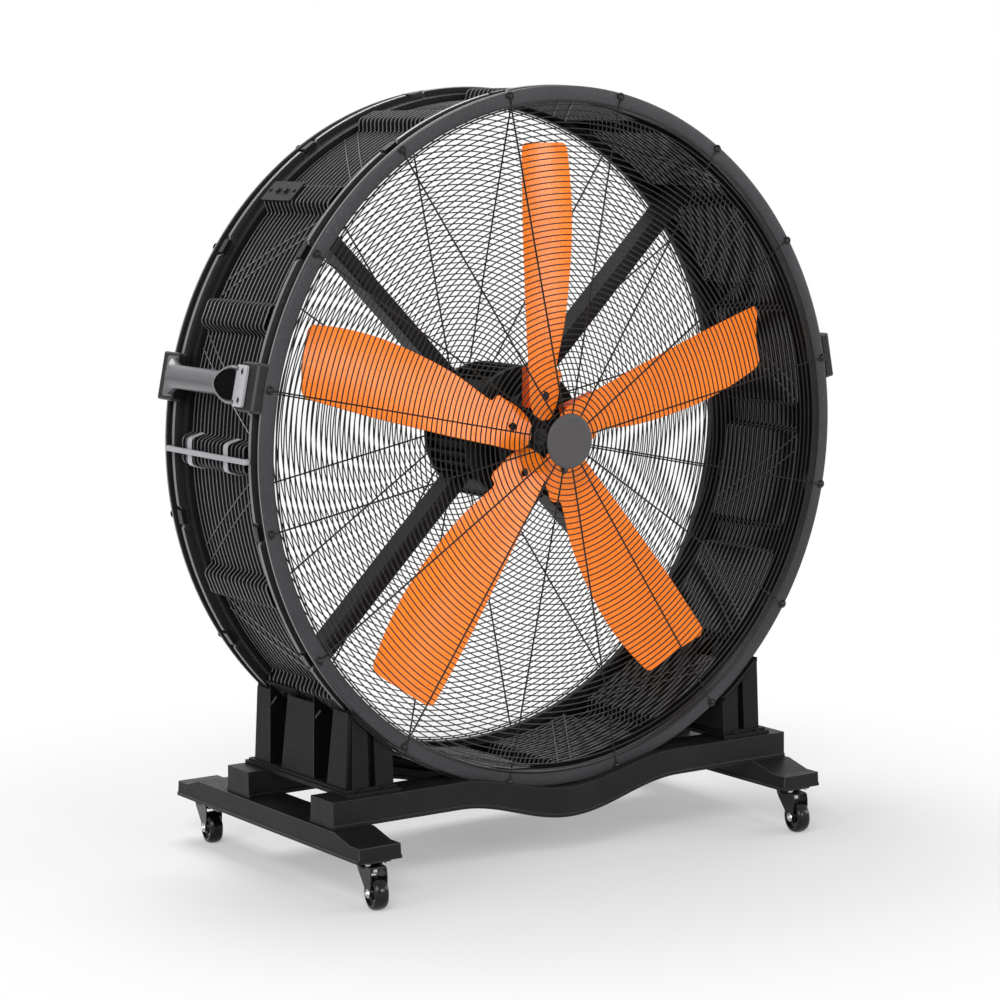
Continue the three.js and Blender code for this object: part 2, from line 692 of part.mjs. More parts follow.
function armGeometry() {
  const side = ARM_WIDTH / 2;
  const back = ARM_FRONT + ARM_DEPTH;
  const outer = box([ARM_INNER, ARM_FRONT, -side], [ARM_OUTER, back, side]);
  const hollow = box(
    [ARM_INNER + ARM_SHEET, ARM_FRONT + ARM_SHEET, -side + ARM_SHEET],
    [ARM_OUTER - ARM_SHEET, back + 1, side - ARM_SHEET],
  );
  const holes = armBoltPlaces().map((y) => (
    radialHole(ARM_BOLT_RADIUS + GAP, ARM_OUTER - 2 * ARM_SHEET, ARM_OUTER + 1, y, 0)
  ));
  const channel = cut(outer, [hollow, mergeGeometries(holes)]);
  return join([channel, ...armBoltPlaces().map(innerArmBolt)]);
}

// Clamps the arm to the motor body.
function innerArmBolt(y) {
  const seat = ARM_INNER + ARM_SHEET - WELD;
  const length = ARM_BOLT_GRIP + ARM_SHEET;
  return radialBolt(ARM_BOLT_HEAD_RADIUS, ARM_BOLT_HEAD_HEIGHT, ARM_BOLT_RADIUS, length, seat, y, 0);
}

// Clamps the side wall between the arm and its end plate.
function outerArmBolt(y) {
  const seat = END_PLATE_OUTSIDE - WELD;
  const length = seat - (ARM_OUTER - ARM_SHEET - ARM_BOLT_HEAD_HEIGHT);
  return radialBolt(ARM_BOLT_HEAD_RADIUS, ARM_BOLT_HEAD_HEIGHT, ARM_BOLT_RADIUS, length, seat, y, 0);
}

function endPlateGeometry() {
  const low = END_PLATE_OUTSIDE - END_PLATE_THICKNESS;
  const plate = box(
    [low, ARM_MIDDLE_Y - END_PLATE_LENGTH / 2, -END_PLATE_WIDTH / 2],
    [END_PLATE_OUTSIDE, ARM_MIDDLE_Y + END_PLATE_LENGTH / 2, END_PLATE_WIDTH / 2],
  );
  return join([plate, ...armBoltPlaces().map(outerArmBolt)]);
}

function addArms(drum) {
  const arm = armGeometry();
  armAngles().forEach((angle, i) => {
    addPiece(drum, `motor_arm_${i + 1}`, turnedTo(arm, angle), armPaint);
  });
  const plate = endPlateGeometry();
  armAngles().forEach((angle, i) => {
    addPiece(drum, `arm_end_plate_${i + 1}`, turnedTo(plate, angle), armPaint);
  });
}

// ---------- Impeller ----------

// The blade lies along +X; +Z is its front edge, which stands forward of the rear edge.
// Both edges are bent forward along straight lines, so every face is flat.
function bladeFrontFace(side) {
  const past = Math.max(0, side - BLADE_BEND_FRONT, -side - BLADE_BEND_REAR);
  return BLADE_CENTRE_Y - PITCH_SLOPE * side - BEND_SLOPE * past;
}

function bladeSheet() {
  const sides = [-BLADE_BELLY_WIDTH, -BLADE_BEND_REAR, BLADE_BEND_FRONT, BLADE_BELLY_WIDTH];
  const front = sides.map((side) => [bladeFrontFace(side), side]);
  const back = front.map(([y, side]) => [y + BLADE_THICKNESS, side]).reverse();
  return extrudedAlongX(shapeOf([...front, ...back]), BLADE_ROOT, BLADE_TIP);
}

function between(curve, radius) {
  for (let i = 0; i + 1 < curve.length; i += 1) {
    const [low, from] = curve[i];
    const [high, to] = curve[i + 1];
    if (radius <= high) {
      const share = Math.max(0, (radius - low) / (high - low));
      return from + (to - from) * Math.sin((share * Math.PI) / 2) ** 2;
    }
  }
  return curve[curve.length - 1][1];
}

function bladeWidth(radius) {
  if (radius < BLADE_SHOULDER) {
    const share = (radius - BLADE_ROOT) / (BLADE_SHOULDER - BLADE_ROOT);
    const round = Math.sqrt(Math.max(0, 1 - (1 - share) ** 2));
    return BLADE_ROOT_WIDTH + (BLADE_SHOULDER_WIDTH - BLADE_ROOT_WIDTH) * round;
  }
  return between([
    [BLADE_SHOULDER, BLADE_SHOULDER_WIDTH],
    [BLADE_NECK, BLADE_NECK_WIDTH],
    [BLADE_BELLY, BLADE_BELLY_WIDTH],
    [BLADE_TIP, BLADE_TIP_WIDTH],
  ], radius);
}

function bladeLean(radius) {
  return -between([[BLADE_SHOULDER, 0], [BLADE_BELLY, BLADE_SWEEP], [BLADE_TIP, 0]], radius);
}

function bladeStations() {
  const corner = BLADE_TIP - BLADE_CORNER;
  const root = [0, 0.15, 0.45, 1].map((share) => BLADE_ROOT + (BLADE_SHOULDER - BLADE_ROOT) * share);
  const waist = [BLADE_NECK, (2 * BLADE_NECK + BLADE_BELLY) / 3, (BLADE_NECK + 2 * BLADE_BELLY) / 3];
  const tip = [(BLADE_BELLY + corner) / 2, corner, BLADE_TIP - BLADE_CORNER / 4, BLADE_TIP];
  return [...root, ...waist, BLADE_BELLY, ...tip];
}

function tipInset(radius) {
  const past = Math.max(0, radius - (BLADE_TIP - BLADE_CORNER)) / BLADE_CORNER;
  return BLADE_CORNER * (1 - Math.sqrt(1 - Math.min(1, past) ** 2));
}

// The blade's outline seen from the front, as [x, side] points.
function bladePlan() {
  const edge = (sign) => bladeStations().map((radius) => {
    const half = bladeWidth(radius) / 2 - tipInset(radius);
    return [radius, bladeLean(radius) + sign * half];
  });
  return shapeOf([...edge(-1), ...edge(1).reverse()]);
}

function bladeGeometry() {
  const plan = toSolid(extrudedAlongY(bladePlan(), -DRUM_HALF_DEPTH, 0));
  const blade = toGeometry(toSolid(bladeSheet()).intersect(plan));
  return join([blade, clampGeometry(), bladeBolt(), hubBolt()]);
}

// Moves a piece made along Y, with y = 0 at the blade's front face, to the blade's bolt.
function atBladeBolt(geometry) {
  const tilt = new THREE.Matrix4().makeRotationX(THREE.MathUtils.degToRad(-BLADE_PITCH));
  return geometry.applyMatrix4(tilt).translate(BLADE_BOLT_PLACE, BLADE_CENTRE_Y, 0);
}

function bladeBolt() {
  const length = BLADE_THICKNESS + CLAMP_SHEET + BLADE_NUT_HEIGHT;
  return atBladeBolt(bolt(BLADE_BOLT_HEAD, BLADE_BOLT_HEAD_HEIGHT, BLADE_BOLT_RADIUS, length)
    .rotateX(Math.PI).translate(0, WELD, 0));
}

// The blade's folded root, a four-sided tube open along the blade: its base lies on the hub.
function clampGeometry() {
  const base = HUB_FRONT - GAP;
  const topAt = (side) => BLADE_CENTRE_Y - PITCH_SLOPE * side + BLADE_THICKNESS - WELD;
  const front = CLAMP_FRONT_SIDE;
  const rear = -CLAMP_REAR_SIDE;
  const outline = [[base, rear], [base, front], [topAt(front), front], [topAt(rear), rear]];
  const inside = [
    [base - CLAMP_SHEET, rear + CLAMP_SHEET],
    [base - CLAMP_SHEET, front - CLAMP_SHEET],
    [topAt(front - CLAMP_SHEET) + CLAMP_SHEET, front - CLAMP_SHEET],
    [topAt(rear + CLAMP_SHEET) + CLAMP_SHEET, rear + CLAMP_SHEET],
  ];
  const shape = shapeOf(outline);
  shape.holes.push(new THREE.Path(inside.map(([x, y]) => new THREE.Vector2(x, y))));
  return extrudedAlongX(shape, CLAMP_START, CLAMP_START + CLAMP_LENGTH);
}

function hubBoltHole() {
  return disc(around(HUB_BOLT_RADIUS + GAP, BOLT_SIDES), HUB_FRONT - 1, HUB_FRONT + HUB_BOLT_GRIP, BOLT_SIDES)
    .translate(HUB_BOLT_PLACE, 0, HUB_BOLT_SIDE);
}

// Holds the folded root down on the hub.
function hubBolt() {
  const seat = HUB_FRONT - GAP - CLAMP_SHEET + WELD;
  const length = HUB_BOLT_GRIP + CLAMP_SHEET - 1;
  return bolt(HUB_BOLT_HEAD, HUB_BOLT_HEAD_HEIGHT, HUB_BOLT_RADIUS, length)
    .rotateX(Math.PI)
    .translate(HUB_BOLT_PLACE, seat, HUB_BOLT_SIDE);
}

function bladeAngles() {
  return everyStep(BLADES, 90);
}

function hubPlateGeometry() {
  const back = HUB_FRONT + HUB_THICKNESS;
  const bore = around(SHAFT_RADIUS + GAP, 24);
  const plate = turnedRing([
    [bore, HUB_FRONT],
    [HUB_RADIUS, HUB_FRONT],
    [HUB_RADIUS, back],
    [HUB_BOSS_RADIUS, back],
    [HUB_BOSS_RADIUS, back + HUB_BOSS_LENGTH],
    [bore, back + HUB_BOSS_LENGTH],
  ], 24);
  const holes = bladeAngles().map((angle) => turnedTo(hubBoltHole(), angle));
  return cut(plate, [mergeGeometries(holes)]);
}

function centreScrewGeometry() {
  const seat = SHAFT_FRONT - GAP;
  const washer = seat - CENTRE_WASHER_THICKNESS;
  return turned([
    [0, washer - CENTRE_SCREW_HEIGHT],
    [CENTRE_SCREW_HEAD, washer - CENTRE_SCREW_HEIGHT],
    [CENTRE_SCREW_HEAD, washer],
    [CENTRE_WASHER_RADIUS, washer],
    [CENTRE_WASHER_RADIUS, seat],
    [CENTRE_SCREW_RADIUS, seat],
    [CENTRE_SCREW_RADIUS, seat + CENTRE_SCREW_GRIP],
    [0, seat + CENTRE_SCREW_GRIP],
  ], 12);
}

function addImpeller(impeller) {
  const blade = bladeGeometry();
  bladeAngles().forEach((angle, i) => {
    addPiece(impeller, `blade_${i + 1}`, turnedTo(blade, angle), bladeOrange);
  });
  addPiece(impeller, 'hub_plate', hubPlateGeometry(), blackHub);
  addPiece(impeller, 'hub_centre_screw', centreScrewGeometry(), zinc);
}

// ---------- Handles and tie rod ----------

function handlePlateSpan() {
  const inner = HANDLE_HALF_LENGTH - HANDLE_PLATE_OVERLAP;
  return [inner, inner + HANDLE_PLATE_WIDTH];
}

function handleScrewPlaces() {
  const y = HANDLE_HALF_LENGTH + HANDLE_SCREW_INSET;
  const z = HANDLE_SCREW_SPACING / 2;
  return [[y, z], [y, -z], [-y, z], [-y, -z]];
}

function handleHoles() {
  const top = BRACKET_TOP + GAP + HANDLE_PLATE_THICKNESS;
  return handleScrewPlaces().map(([y, z]) => (
    radialHole(HANDLE_SCREW_RADIUS + GAP, BRACKET_TOP - HANDLE_SCREW_GRIP - 1, top + 1, y, z)
  ));
}

function handleGeometry() {
  const axis = DRUM_RADIUS + HANDLE_REACH;
  const half = HANDLE_HALF_LENGTH;
  const outer = HANDLE_TUBE_RADIUS;
  const grip = tube(outer - HANDLE_TUBE_WALL, outer, -half, half, 12).translate(axis, 0, 0);
  const [inner, end] = handlePlateSpan();
  const low = BRACKET_TOP + GAP;
  const high = low + HANDLE_PLATE_THICKNESS;
  const side = HANDLE_PLATE_LENGTH / 2;
  const plates = [
    box([low, inner, -side], [high, end, side]),
    box([low, -end, -side], [high, -inner, side]),
  ];
  const top = axis + outer + 1;
  const bevel = shapeOf([[high, half], [top, half - HANDLE_BEVEL], [top, half + 1], [high, half + 1]]);
  const wedge = extruded(bevel, 4 * outer).translate(0, 0, -2 * outer);
  const wedges = [wedge, wedge.clone().rotateX(Math.PI)];
  return join([cut(grip, wedges), ...plates, ...handleScrews()]);
}

function bracketGeometries() {
  const high = DRUM_HALF_DEPTH - BRACKET_SETBACK;
  const low = high - BRACKET_DEPTH;
  const side = BRACKET_LENGTH / 2;
  const seat = disc(around(BEAD_RADIUS + GAP, RING_FACETS), -DRUM_HALF_DEPTH, DRUM_HALF_DEPTH, RING_FACETS);
  const blocks = [[low, high], [-high, -low]].map(([from, to]) => (
    box([WALL_RADIUS, from, -side], [BRACKET_TOP, to, side])
  ));
  return blocks.map((block) => cut(block, [seat, ...handleHoles()]));
}

function handleScrews() {
  const seat = BRACKET_TOP + GAP + HANDLE_PLATE_THICKNESS - WELD;
  const length = HANDLE_PLATE_THICKNESS + HANDLE_SCREW_GRIP;
  return handleScrewPlaces().map(([y, z]) => (
    radialBolt(HANDLE_SCREW_HEAD, HANDLE_SCREW_HEAD_HEIGHT, HANDLE_SCREW_RADIUS, length, seat, y, z)
  ));
}

function addHandles(drum) {
  const sides = [['left', 180 - HANDLE_ANGLE], ['right', HANDLE_ANGLE]];
  for (const [side, angle] of sides) {
    addPiece(drum, `${side}_handle`, turnedTo(handleGeometry(), angle), handleGrey);
    const [rear, front] = bracketGeometries();
    addPiece(drum, `${side}_handle_rear_bracket`, turnedTo(rear, angle), bracketBlack);
    addPiece(drum, `${side}_handle_front_bracket`, turnedTo(front, angle), bracketBlack);
  }
}

function tieRodGeometry() {
  const low = HUMP_TOP + GAP;
  const high = low + TIE_ROD_THICKNESS;
  const foot = BEAD_RADIUS + GAP;
  const end = BEAD_MIDDLE + TIE_ROD_OVERHANG;
  const start = end - TIE_ROD_FOOT;
  const outline = [
    [foot, -end], [high, -end], [high, end], [foot, end],
    [foot, start], [low, start], [low, -start], [foot, -start],
  ];
  return clean(extruded(shapeOf(outline), TIE_ROD_WIDTH).translate(0, 0, -TIE_ROD_WIDTH / 2));
}

function clipGeometries() {
  const seat = HUMP_TOP + GAP;
  const inner = TIE_ROD_WIDTH / 2 + GAP;
  const outer = inner + CLIP_SHEET;
  const tip = outer + CLIP_FOOT;
  const crown = seat + TIE_ROD_THICKNESS + GAP;
  const shape = shapeOf([
    [seat, -tip], [seat + CLIP_SHEET, -tip], [seat + CLIP_SHEET, -outer], [crown + CLIP_SHEET, -outer],
    [crown + CLIP_SHEET, outer], [seat + CLIP_SHEET, outer], [seat + CLIP_SHEET, tip], [seat, tip],
    [seat, inner], [crown, inner], [crown, -inner], [seat, -inner],
  ]);
  return [-1, 1].map((side) => {
    const y = (side * CLIP_SPACING) / 2;
    return extrudedAlongY(shape, y - CLIP_LENGTH / 2, y + CLIP_LENGTH / 2);
  });
}

function addTieRod(drum) {
  addPiece(drum, 'tie_rod', turnedTo(tieRodGeometry(), 180), handleGrey);
  const [front, rear] = clipGeometries();
  addPiece(drum, 'tie_rod_front_clip', turnedTo(front, 180), zinc);
  addPiece(drum, 'tie_rod_rear_clip', turnedTo(rear, 180), zinc);
}

// ---------- Base ----------

function dip(x) {
  const share = Math.min(1, Math.abs(x) / BEAM_DIP_HALF_WIDTH);
  return 0.5 * (1 + Math.cos(Math.PI * share));
}

function beamLevels() {
  const inner = Array.from({ length: BEAM_STEPS + 1 }, (_, i) => (
    -BEAM_DIP_HALF_WIDTH + (2 * BEAM_DIP_HALF_WIDTH * i) / BEAM_STEPS
  ));
  return [-BEAM_HALF_LENGTH, ...inner, BEAM_HALF_LENGTH];
}

// What the drum needs: a bore round the end rings, and a wider one round the humps.
function drumNest() {
  const wide = nestHalfWidth();
  const length = DRUM_HALF_DEPTH + NEST_GAP;
  return [
    disc(around(NEST_RADIUS, NEST_FACETS), -length, length, NEST_FACETS).translate(0, 0, DRUM_CENTRE_Z),
    disc(around(HUMP_NEST_RADIUS, NEST_FACETS), -wide, wide, NEST_FACETS).translate(0, 0, DRUM_CENTRE_Z),
  ];
}

function beamGeometry(middleY) {
  const low = middleY - BEAM_WIDTH / 2;
  const high = middleY + BEAM_WIDTH / 2;
  const top = beamLevels().map((x) => [x, BEAM_TOP - BEAM_TOP_DIP * dip(x)]);
  const bottom = beamLevels().map((x) => [x, BEAM_BOTTOM - BEAM_BOTTOM_DIP * dip(x)]);
  const body = extrudedAlongY(shapeOf([...bottom, ...top.reverse()]), low, high);
  const ceiling = beamLevels().map((x) => {
    const inner = Math.sign(x) * Math.min(Math.abs(x), BEAM_HALF_LENGTH - BEAM_SHEET);
    const nest = HUMP_NEST_RADIUS + BEAM_SHEET;
    const nestZ = DRUM_CENTRE_Z - Math.sqrt(Math.max(0, nest * nest - x * x));
    return [inner, Math.min(BEAM_TOP - BEAM_TOP_DIP * dip(x) - BEAM_SHEET, nestZ)];
  });
  const under = bottom.map(([x, z]) => [
    Math.sign(x) * Math.min(Math.abs(x), BEAM_HALF_LENGTH - BEAM_SHEET), z - 1,
  ]);
  const hollow = extrudedAlongY(
    shapeOf([...under, ...ceiling.reverse()]), low + BEAM_SHEET, high - BEAM_SHEET,
  );
  const holes = baseBoltPlaces().map(([x, y]) => (
    disc(around(BASE_BOLT_RADIUS + GAP, BOLT_SIDES), 0, SADDLE_FLANGE + 2 * BEAM_SHEET, BOLT_SIDES)
      .rotateX(Math.PI / 2).translate(x, y, BEAM_TOP - 2 * BEAM_SHEET)
  ));
  return cut(body, [hollow, ...drumNest(), ...holes]);
}

function footGeometry() {
  const front = BASE_SHIFT_Y - FOOT_FRONT_REACH;
  const rear = BASE_SHIFT_Y + FOOT_REAR_REACH;
  const bottom = FOOT_BOTTOM;
  const profile = (inset) => {
    const endZ = FOOT_BOTTOM + FOOT_END_HEIGHT - inset;
    const middleZ = FOOT_BOTTOM + FOOT_MIDDLE_HEIGHT - inset;
    return shapeOf([
      [front + inset, bottom - inset], [rear - inset, bottom - inset],
      [rear - inset, endZ], [rear - FOOT_REAR_PAD, endZ],
      [rear - FOOT_REAR_PAD - FOOT_REAR_RAMP, middleZ],
      [front + FOOT_FRONT_PAD + FOOT_FRONT_RAMP, middleZ],
      [front + FOOT_FRONT_PAD, endZ], [front + inset, endZ],
    ]);
  };
  const half = FOOT_WIDTH / 2;
  const shell = cut(extrudedAlongX(profile(0), -half, half), [
    extrudedAlongX(profile(FOOT_SHEET), -half + FOOT_SHEET, half - FOOT_SHEET),
  ]);
  const floors = [[front, front + FOOT_FLOOR_LENGTH], [rear - FOOT_FLOOR_LENGTH, rear]].map(([low, high]) => (
    box([-half, low, bottom], [half, high, bottom + FOOT_SHEET])
  ));
  const plates = casterPlaces().filter(([x]) => x > 0).map(([, y]) => (
    casterPlateGeometry().translate(0, y, 0)
  ));
  return join([shell, ...floors, ...plates]);
}

// A saddle seen along the drum's axis, before the drum's seat is cut into it.
function saddleOutline() {
  const low = BEAM_TOP + GAP + SADDLE_FLANGE;
  const high = DRUM_CENTRE_Z - DRUM_RADIUS / 2;
  return [
    [SADDLE_INNER_X, low], [SADDLE_OUTER_X, low],
    [SADDLE_OUTER_X - SADDLE_LEAN, high], [SADDLE_INNER_X, high],
  ];
}

function saddleGeometry() {
  const low = BASE_SHIFT_Y - SADDLE_HALF_LENGTH;
  const high = BASE_SHIFT_Y + SADDLE_HALF_LENGTH;
  const bottom = BEAM_TOP + GAP;
  const top = bottom + SADDLE_FLANGE;
  const body = extrudedAlongY(shapeOf(saddleOutline()), low, high);
  const flange = box(
    [SADDLE_INNER_X - SADDLE_FLANGE_SIDE, low - SADDLE_FLANGE_END, bottom],
    [SADDLE_OUTER_X + SADDLE_FLANGE_SIDE, high + SADDLE_FLANGE_END, top],
  );
  const recesses = [-1, 1].map((side) => {
    const y = BASE_SHIFT_Y + side * RECESS_PLACE;
    const reach = SADDLE_OUTER_X - RECESS_DEPTH;
    const drop = Math.sqrt((BEAD_RADIUS + PAD_THICKNESS) ** 2 - reach ** 2);
    const roof = DRUM_CENTRE_Z - drop - RECESS_TOP_WALL;
    return box([reach, y - RECESS_LENGTH / 2, top], [SADDLE_OUTER_X + 1, y + RECESS_LENGTH / 2, roof]);
  });
  const grooveX = (SADDLE_INNER_X + SADDLE_OUTER_X - SADDLE_LEAN) / 2;
  const half = END_GROOVE_WIDTH / 2;
  const spans = [[low - 1, low + END_GROOVE_DEPTH], [high - END_GROOVE_DEPTH, high + 1]];
  const grooves = spans.map(([from, to]) => (
    box([grooveX - half, from, top], [grooveX + half, to, DRUM_CENTRE_Z])
  ));
  const endWall = END_GROOVE_DEPTH + SADDLE_WALL;
  const cavity = box(
    [SADDLE_INNER_X + SADDLE_WALL, low + endWall, bottom - 1],
    [SADDLE_OUTER_X - RECESS_DEPTH - SADDLE_WALL, high - endWall, bottom + SADDLE_CAVITY_HEIGHT],
  );
  const seatRadius = around(BEAD_RADIUS + PAD_THICKNESS + 2 * GAP, NEST_FACETS);
  const seat = disc(seatRadius, -DRUM_RADIUS, DRUM_RADIUS, NEST_FACETS);
  const tools = [...recesses, ...grooves, cavity, seat.translate(0, 0, DRUM_CENTRE_Z), saddleNest()];
  const bolts = baseBoltPlaces().filter(([x]) => x > 0).map(baseBolt);
  return join([cut(join([body, flange]), tools), ...bolts]);
}

// Room for the hump and the end plate that come down beside a saddle.
function saddleNest() {
  const wide = nestHalfWidth();
  const radius = around(HUMP_NEST_RADIUS, NEST_FACETS);
  const hump = disc(radius, -wide, wide, NEST_FACETS).translate(0, 0, DRUM_CENTRE_Z);
  const [x] = polar(WALL_RADIUS, 45 + humpFoot() + SADDLE_NEST_MARGIN);
  const keep = box([x, -2 * wide, 0], [DRUM_RADIUS, 2 * wide, DRUM_CENTRE_Z]);
  return toGeometry(toSolid(hump).intersect(toSolid(keep)));
}

function nestHalfWidth() {
  return WALL_HALF_SPAN + NEST_END_ROOM;
}

// A rubber strip under each end ring, the two joined along the saddle's inner edge.
function padGeometry() {
  const low = BASE_SHIFT_Y - SADDLE_HALF_LENGTH;
  const high = BASE_SHIFT_Y + SADDLE_HALF_LENGTH;
  const edge = nestHalfWidth() + GAP;
  const outer = disc(BEAD_RADIUS + GAP + PAD_THICKNESS, -DRUM_RADIUS, DRUM_RADIUS, NEST_FACETS);
  const inner = disc(around(BEAD_RADIUS + GAP, NEST_FACETS), -2 * DRUM_RADIUS, 2 * DRUM_RADIUS, NEST_FACETS);
  const sleeve = toSolid(outer).subtract(toSolid(inner)).translate([0, 0, DRUM_CENTRE_Z]);
  const end = SADDLE_OUTER_X - SADDLE_LEAN;
  const plan = join([
    box([SADDLE_INNER_X, low, 0], [end, -edge, DRUM_CENTRE_Z]),
    box([SADDLE_INNER_X, edge, 0], [end, high, DRUM_CENTRE_Z]),
    box([SADDLE_INNER_X, -edge - 1, 0], [SADDLE_INNER_X + PAD_WEB, edge + 1, DRUM_CENTRE_Z]),
  ]);
  return toGeometry(sleeve.intersect(toSolid(plan)));
}

function baseBoltPlaces() {
  const middle = (SADDLE_INNER_X + SADDLE_OUTER_X) / 2;
  const reach = SADDLE_HALF_LENGTH + SADDLE_FLANGE_END / 2;
  const xs = [middle - BASE_BOLT_SPACING / 2, middle + BASE_BOLT_SPACING / 2];
  const ys = [BASE_SHIFT_Y - reach, BASE_SHIFT_Y + reach];
  return xs.flatMap((x) => ys.flatMap((y) => [[x, y], [-x, y]]));
}

function baseBolt([x, y]) {
  const seat = BEAM_TOP + GAP + SADDLE_FLANGE - WELD;
  const length = SADDLE_FLANGE + BEAM_SHEET;
  return bolt(BASE_BOLT_HEAD, BASE_BOLT_HEAD_HEIGHT, BASE_BOLT_RADIUS, length)
    .rotateX(Math.PI / 2).translate(x, y, seat);
}

function addBase(fan) {
  const foot = footGeometry();
  addPiece(fan, 'left_foot_beam', foot.clone().translate(-FOOT_CENTRE_X, 0, 0), basePlastic);
  addPiece(fan, 'right_foot_beam', foot.clone().translate(FOOT_CENTRE_X, 0, 0), basePlastic);
  addPiece(fan, 'front_cross_beam', beamGeometry(BASE_SHIFT_Y - BEAM_PLACE), basePlastic);
  addPiece(fan, 'rear_cross_beam', beamGeometry(BASE_SHIFT_Y + BEAM_PLACE), basePlastic);
  const saddle = saddleGeometry();
  addPiece(fan, 'right_saddle', saddle, basePlastic);
  addPiece(fan, 'left_saddle', mirrored(saddle), basePlastic);
  const pad = padGeometry();
  addPiece(fan, 'right_saddle_pad', pad, rubber);
  addPiece(fan, 'left_saddle_pad', mirrored(pad), rubber);
}

// The same shape on the other side of the middle, its faces still pointing outward.
function mirrored(geometry) {
  const other = clean(geometry);
  other.scale(-1, 1, 1);
  const index = Array.from(other.index.array);
  for (let i = 0; i < index.length; i += 3) {
    [index[i], index[i + 1]] = [index[i + 1], index[i]];
  }
  other.setIndex(index);
  return other;
}

// ---------- Casters ----------

function casterPlaces() {
  const front = BASE_SHIFT_Y - FOOT_FRONT_REACH + CASTER_FRONT_INSET;
  const rear = BASE_SHIFT_Y + FOOT_REAR_REACH - CASTER_REAR_INSET;
  return [[-FOOT_CENTRE_X, front], [FOOT_CENTRE_X, front], [-FOOT_CENTRE_X, rear], [FOOT_CENTRE_X, rear]];
}

function upright(geometry) {
  return geometry.rotateX(Math.PI / 2);
}

function casterPlateGeometry() {
  const low = CASTER_HEIGHT - PLATE_THICKNESS;
  const side = PLATE_WIDTH / 2;
  const end = PLATE_LENGTH / 2;
  const plate = box([-side, -end, low], [side, end, CASTER_HEIGHT + WELD]);
  const race = upright(disc(RACE_RADIUS, low - RACE_HEIGHT, low + 1, 16));
  return join([plate, race]);
}

function forkLeg(low, high) {
  const crown = CASTER_HEIGHT - PLATE_THICKNESS - RACE_HEIGHT - GAP;
  const boss = AXLE_HEAD_RADIUS + 3;
  const outline = shapeOf([
    [FORK_TOP_RADIUS * 0.8, crown], [-WHEEL_TRAIL, crown],
    [-WHEEL_TRAIL - boss, WHEEL_RADIUS + boss / 2], [-WHEEL_TRAIL - boss, WHEEL_RADIUS - boss / 2],
    [-WHEEL_TRAIL - boss / 2, WHEEL_RADIUS - boss], [-WHEEL_TRAIL + boss / 2, WHEEL_RADIUS - boss],
    [-WHEEL_TRAIL + boss, WHEEL_RADIUS - boss / 2], [FORK_TOP_RADIUS * 0.8, crown - FORK_TOP_THICKNESS],
  ]);
  return extrudedAlongX(outline, low, high);
}

function forkGeometry() {
  const crown = CASTER_HEIGHT - PLATE_THICKNESS - RACE_HEIGHT - GAP;
  const inner = WHEEL_WIDTH / 2 + FORK_SIDE_GAP;
  const outer = inner + FORK_LEG;
  const top = upright(disc(FORK_TOP_RADIUS, crown - FORK_TOP_THICKNESS, crown, 16));
  const front = FORK_TOP_RADIUS * 0.8;
  const bridge = box([-outer, -WHEEL_TRAIL, crown - FORK_TOP_THICKNESS], [outer, front, crown]);
  const legs = [forkLeg(-outer, -inner), forkLeg(inner, outer)];
  const hole = radialHole(AXLE_RADIUS + GAP, -outer - 1, outer + 1, -WHEEL_TRAIL, WHEEL_RADIUS);
  return cut(join([top, bridge, ...legs]), [hole]);
}

function axleGeometry() {
  const seat = WHEEL_WIDTH / 2 + FORK_SIDE_GAP + FORK_LEG + GAP;
  const profile = [
    [0, -seat - AXLE_HEAD_HEIGHT], [AXLE_HEAD_RADIUS, -seat - AXLE_HEAD_HEIGHT], [AXLE_HEAD_RADIUS, -seat],
    [AXLE_RADIUS, -seat], [AXLE_RADIUS, seat], [AXLE_HEAD_RADIUS, seat],
    [AXLE_HEAD_RADIUS, seat + AXLE_HEAD_HEIGHT], [0, seat + AXLE_HEAD_HEIGHT],
  ];
  return turned(profile, 6).rotateZ(-Math.PI / 2).translate(0, -WHEEL_TRAIL, WHEEL_RADIUS);
}

function wheelGeometry() {
  const half = WHEEL_WIDTH / 2;
  const bore = around(AXLE_RADIUS + RUNNING_GAP, WHEEL_FACETS);
  const tread = around(WHEEL_RADIUS, WHEEL_FACETS);
  const profile = [
    [bore, -half], [tread - WHEEL_EDGE, -half], [tread, -half + WHEEL_EDGE],
    [tread, half - WHEEL_EDGE], [tread - WHEEL_EDGE, half], [bore, half],
  ];
  const wheel = turnedRing(profile, WHEEL_FACETS).rotateY(Math.PI / WHEEL_FACETS);
  return wheel.rotateZ(-Math.PI / 2).translate(0, -WHEEL_TRAIL, WHEEL_RADIUS);
}

function addCasters(fan) {
  casterPlaces().forEach(([x, y], i) => {
    const swivel = new THREE.Group();
    swivel.position.set(x, y, 0);
    swivel.rotation.z = THREE.MathUtils.degToRad(-CASTER_TURN);
    fan.add(swivel);
    addPiece(swivel, `caster_fork_${i + 1}`, forkGeometry(), casterBlack);
    addPiece(swivel, `caster_axle_${i + 1}`, axleGeometry(), zinc);
    addPiece(swivel, `caster_wheel_${i + 1}`, wheelGeometry(), casterBlack);
  });
}

// ---------- Assembly ----------

function addPiece(parent, name, geometry, material) {
  const piece = new THREE.Mesh(clean(geometry), material());
  piece.name = name;
  parent.add(piece);
  return piece;
}

const fan = new THREE.Group();
const drum = new THREE.Group();
const impeller = new THREE.Group();
drum.position.z = DRUM_CENTRE_Z;
impeller.position.z = DRUM_CENTRE_Z;
fan.add(drum, impeller);

addEndRings(drum);
addGuards(drum);
addSideWall(drum);
addMotor(drum, impeller);
addArms(drum);
addImpeller(impeller);
addHandles(drum);
addTieRod(drum);
addBase(fan);
addCasters(fan);

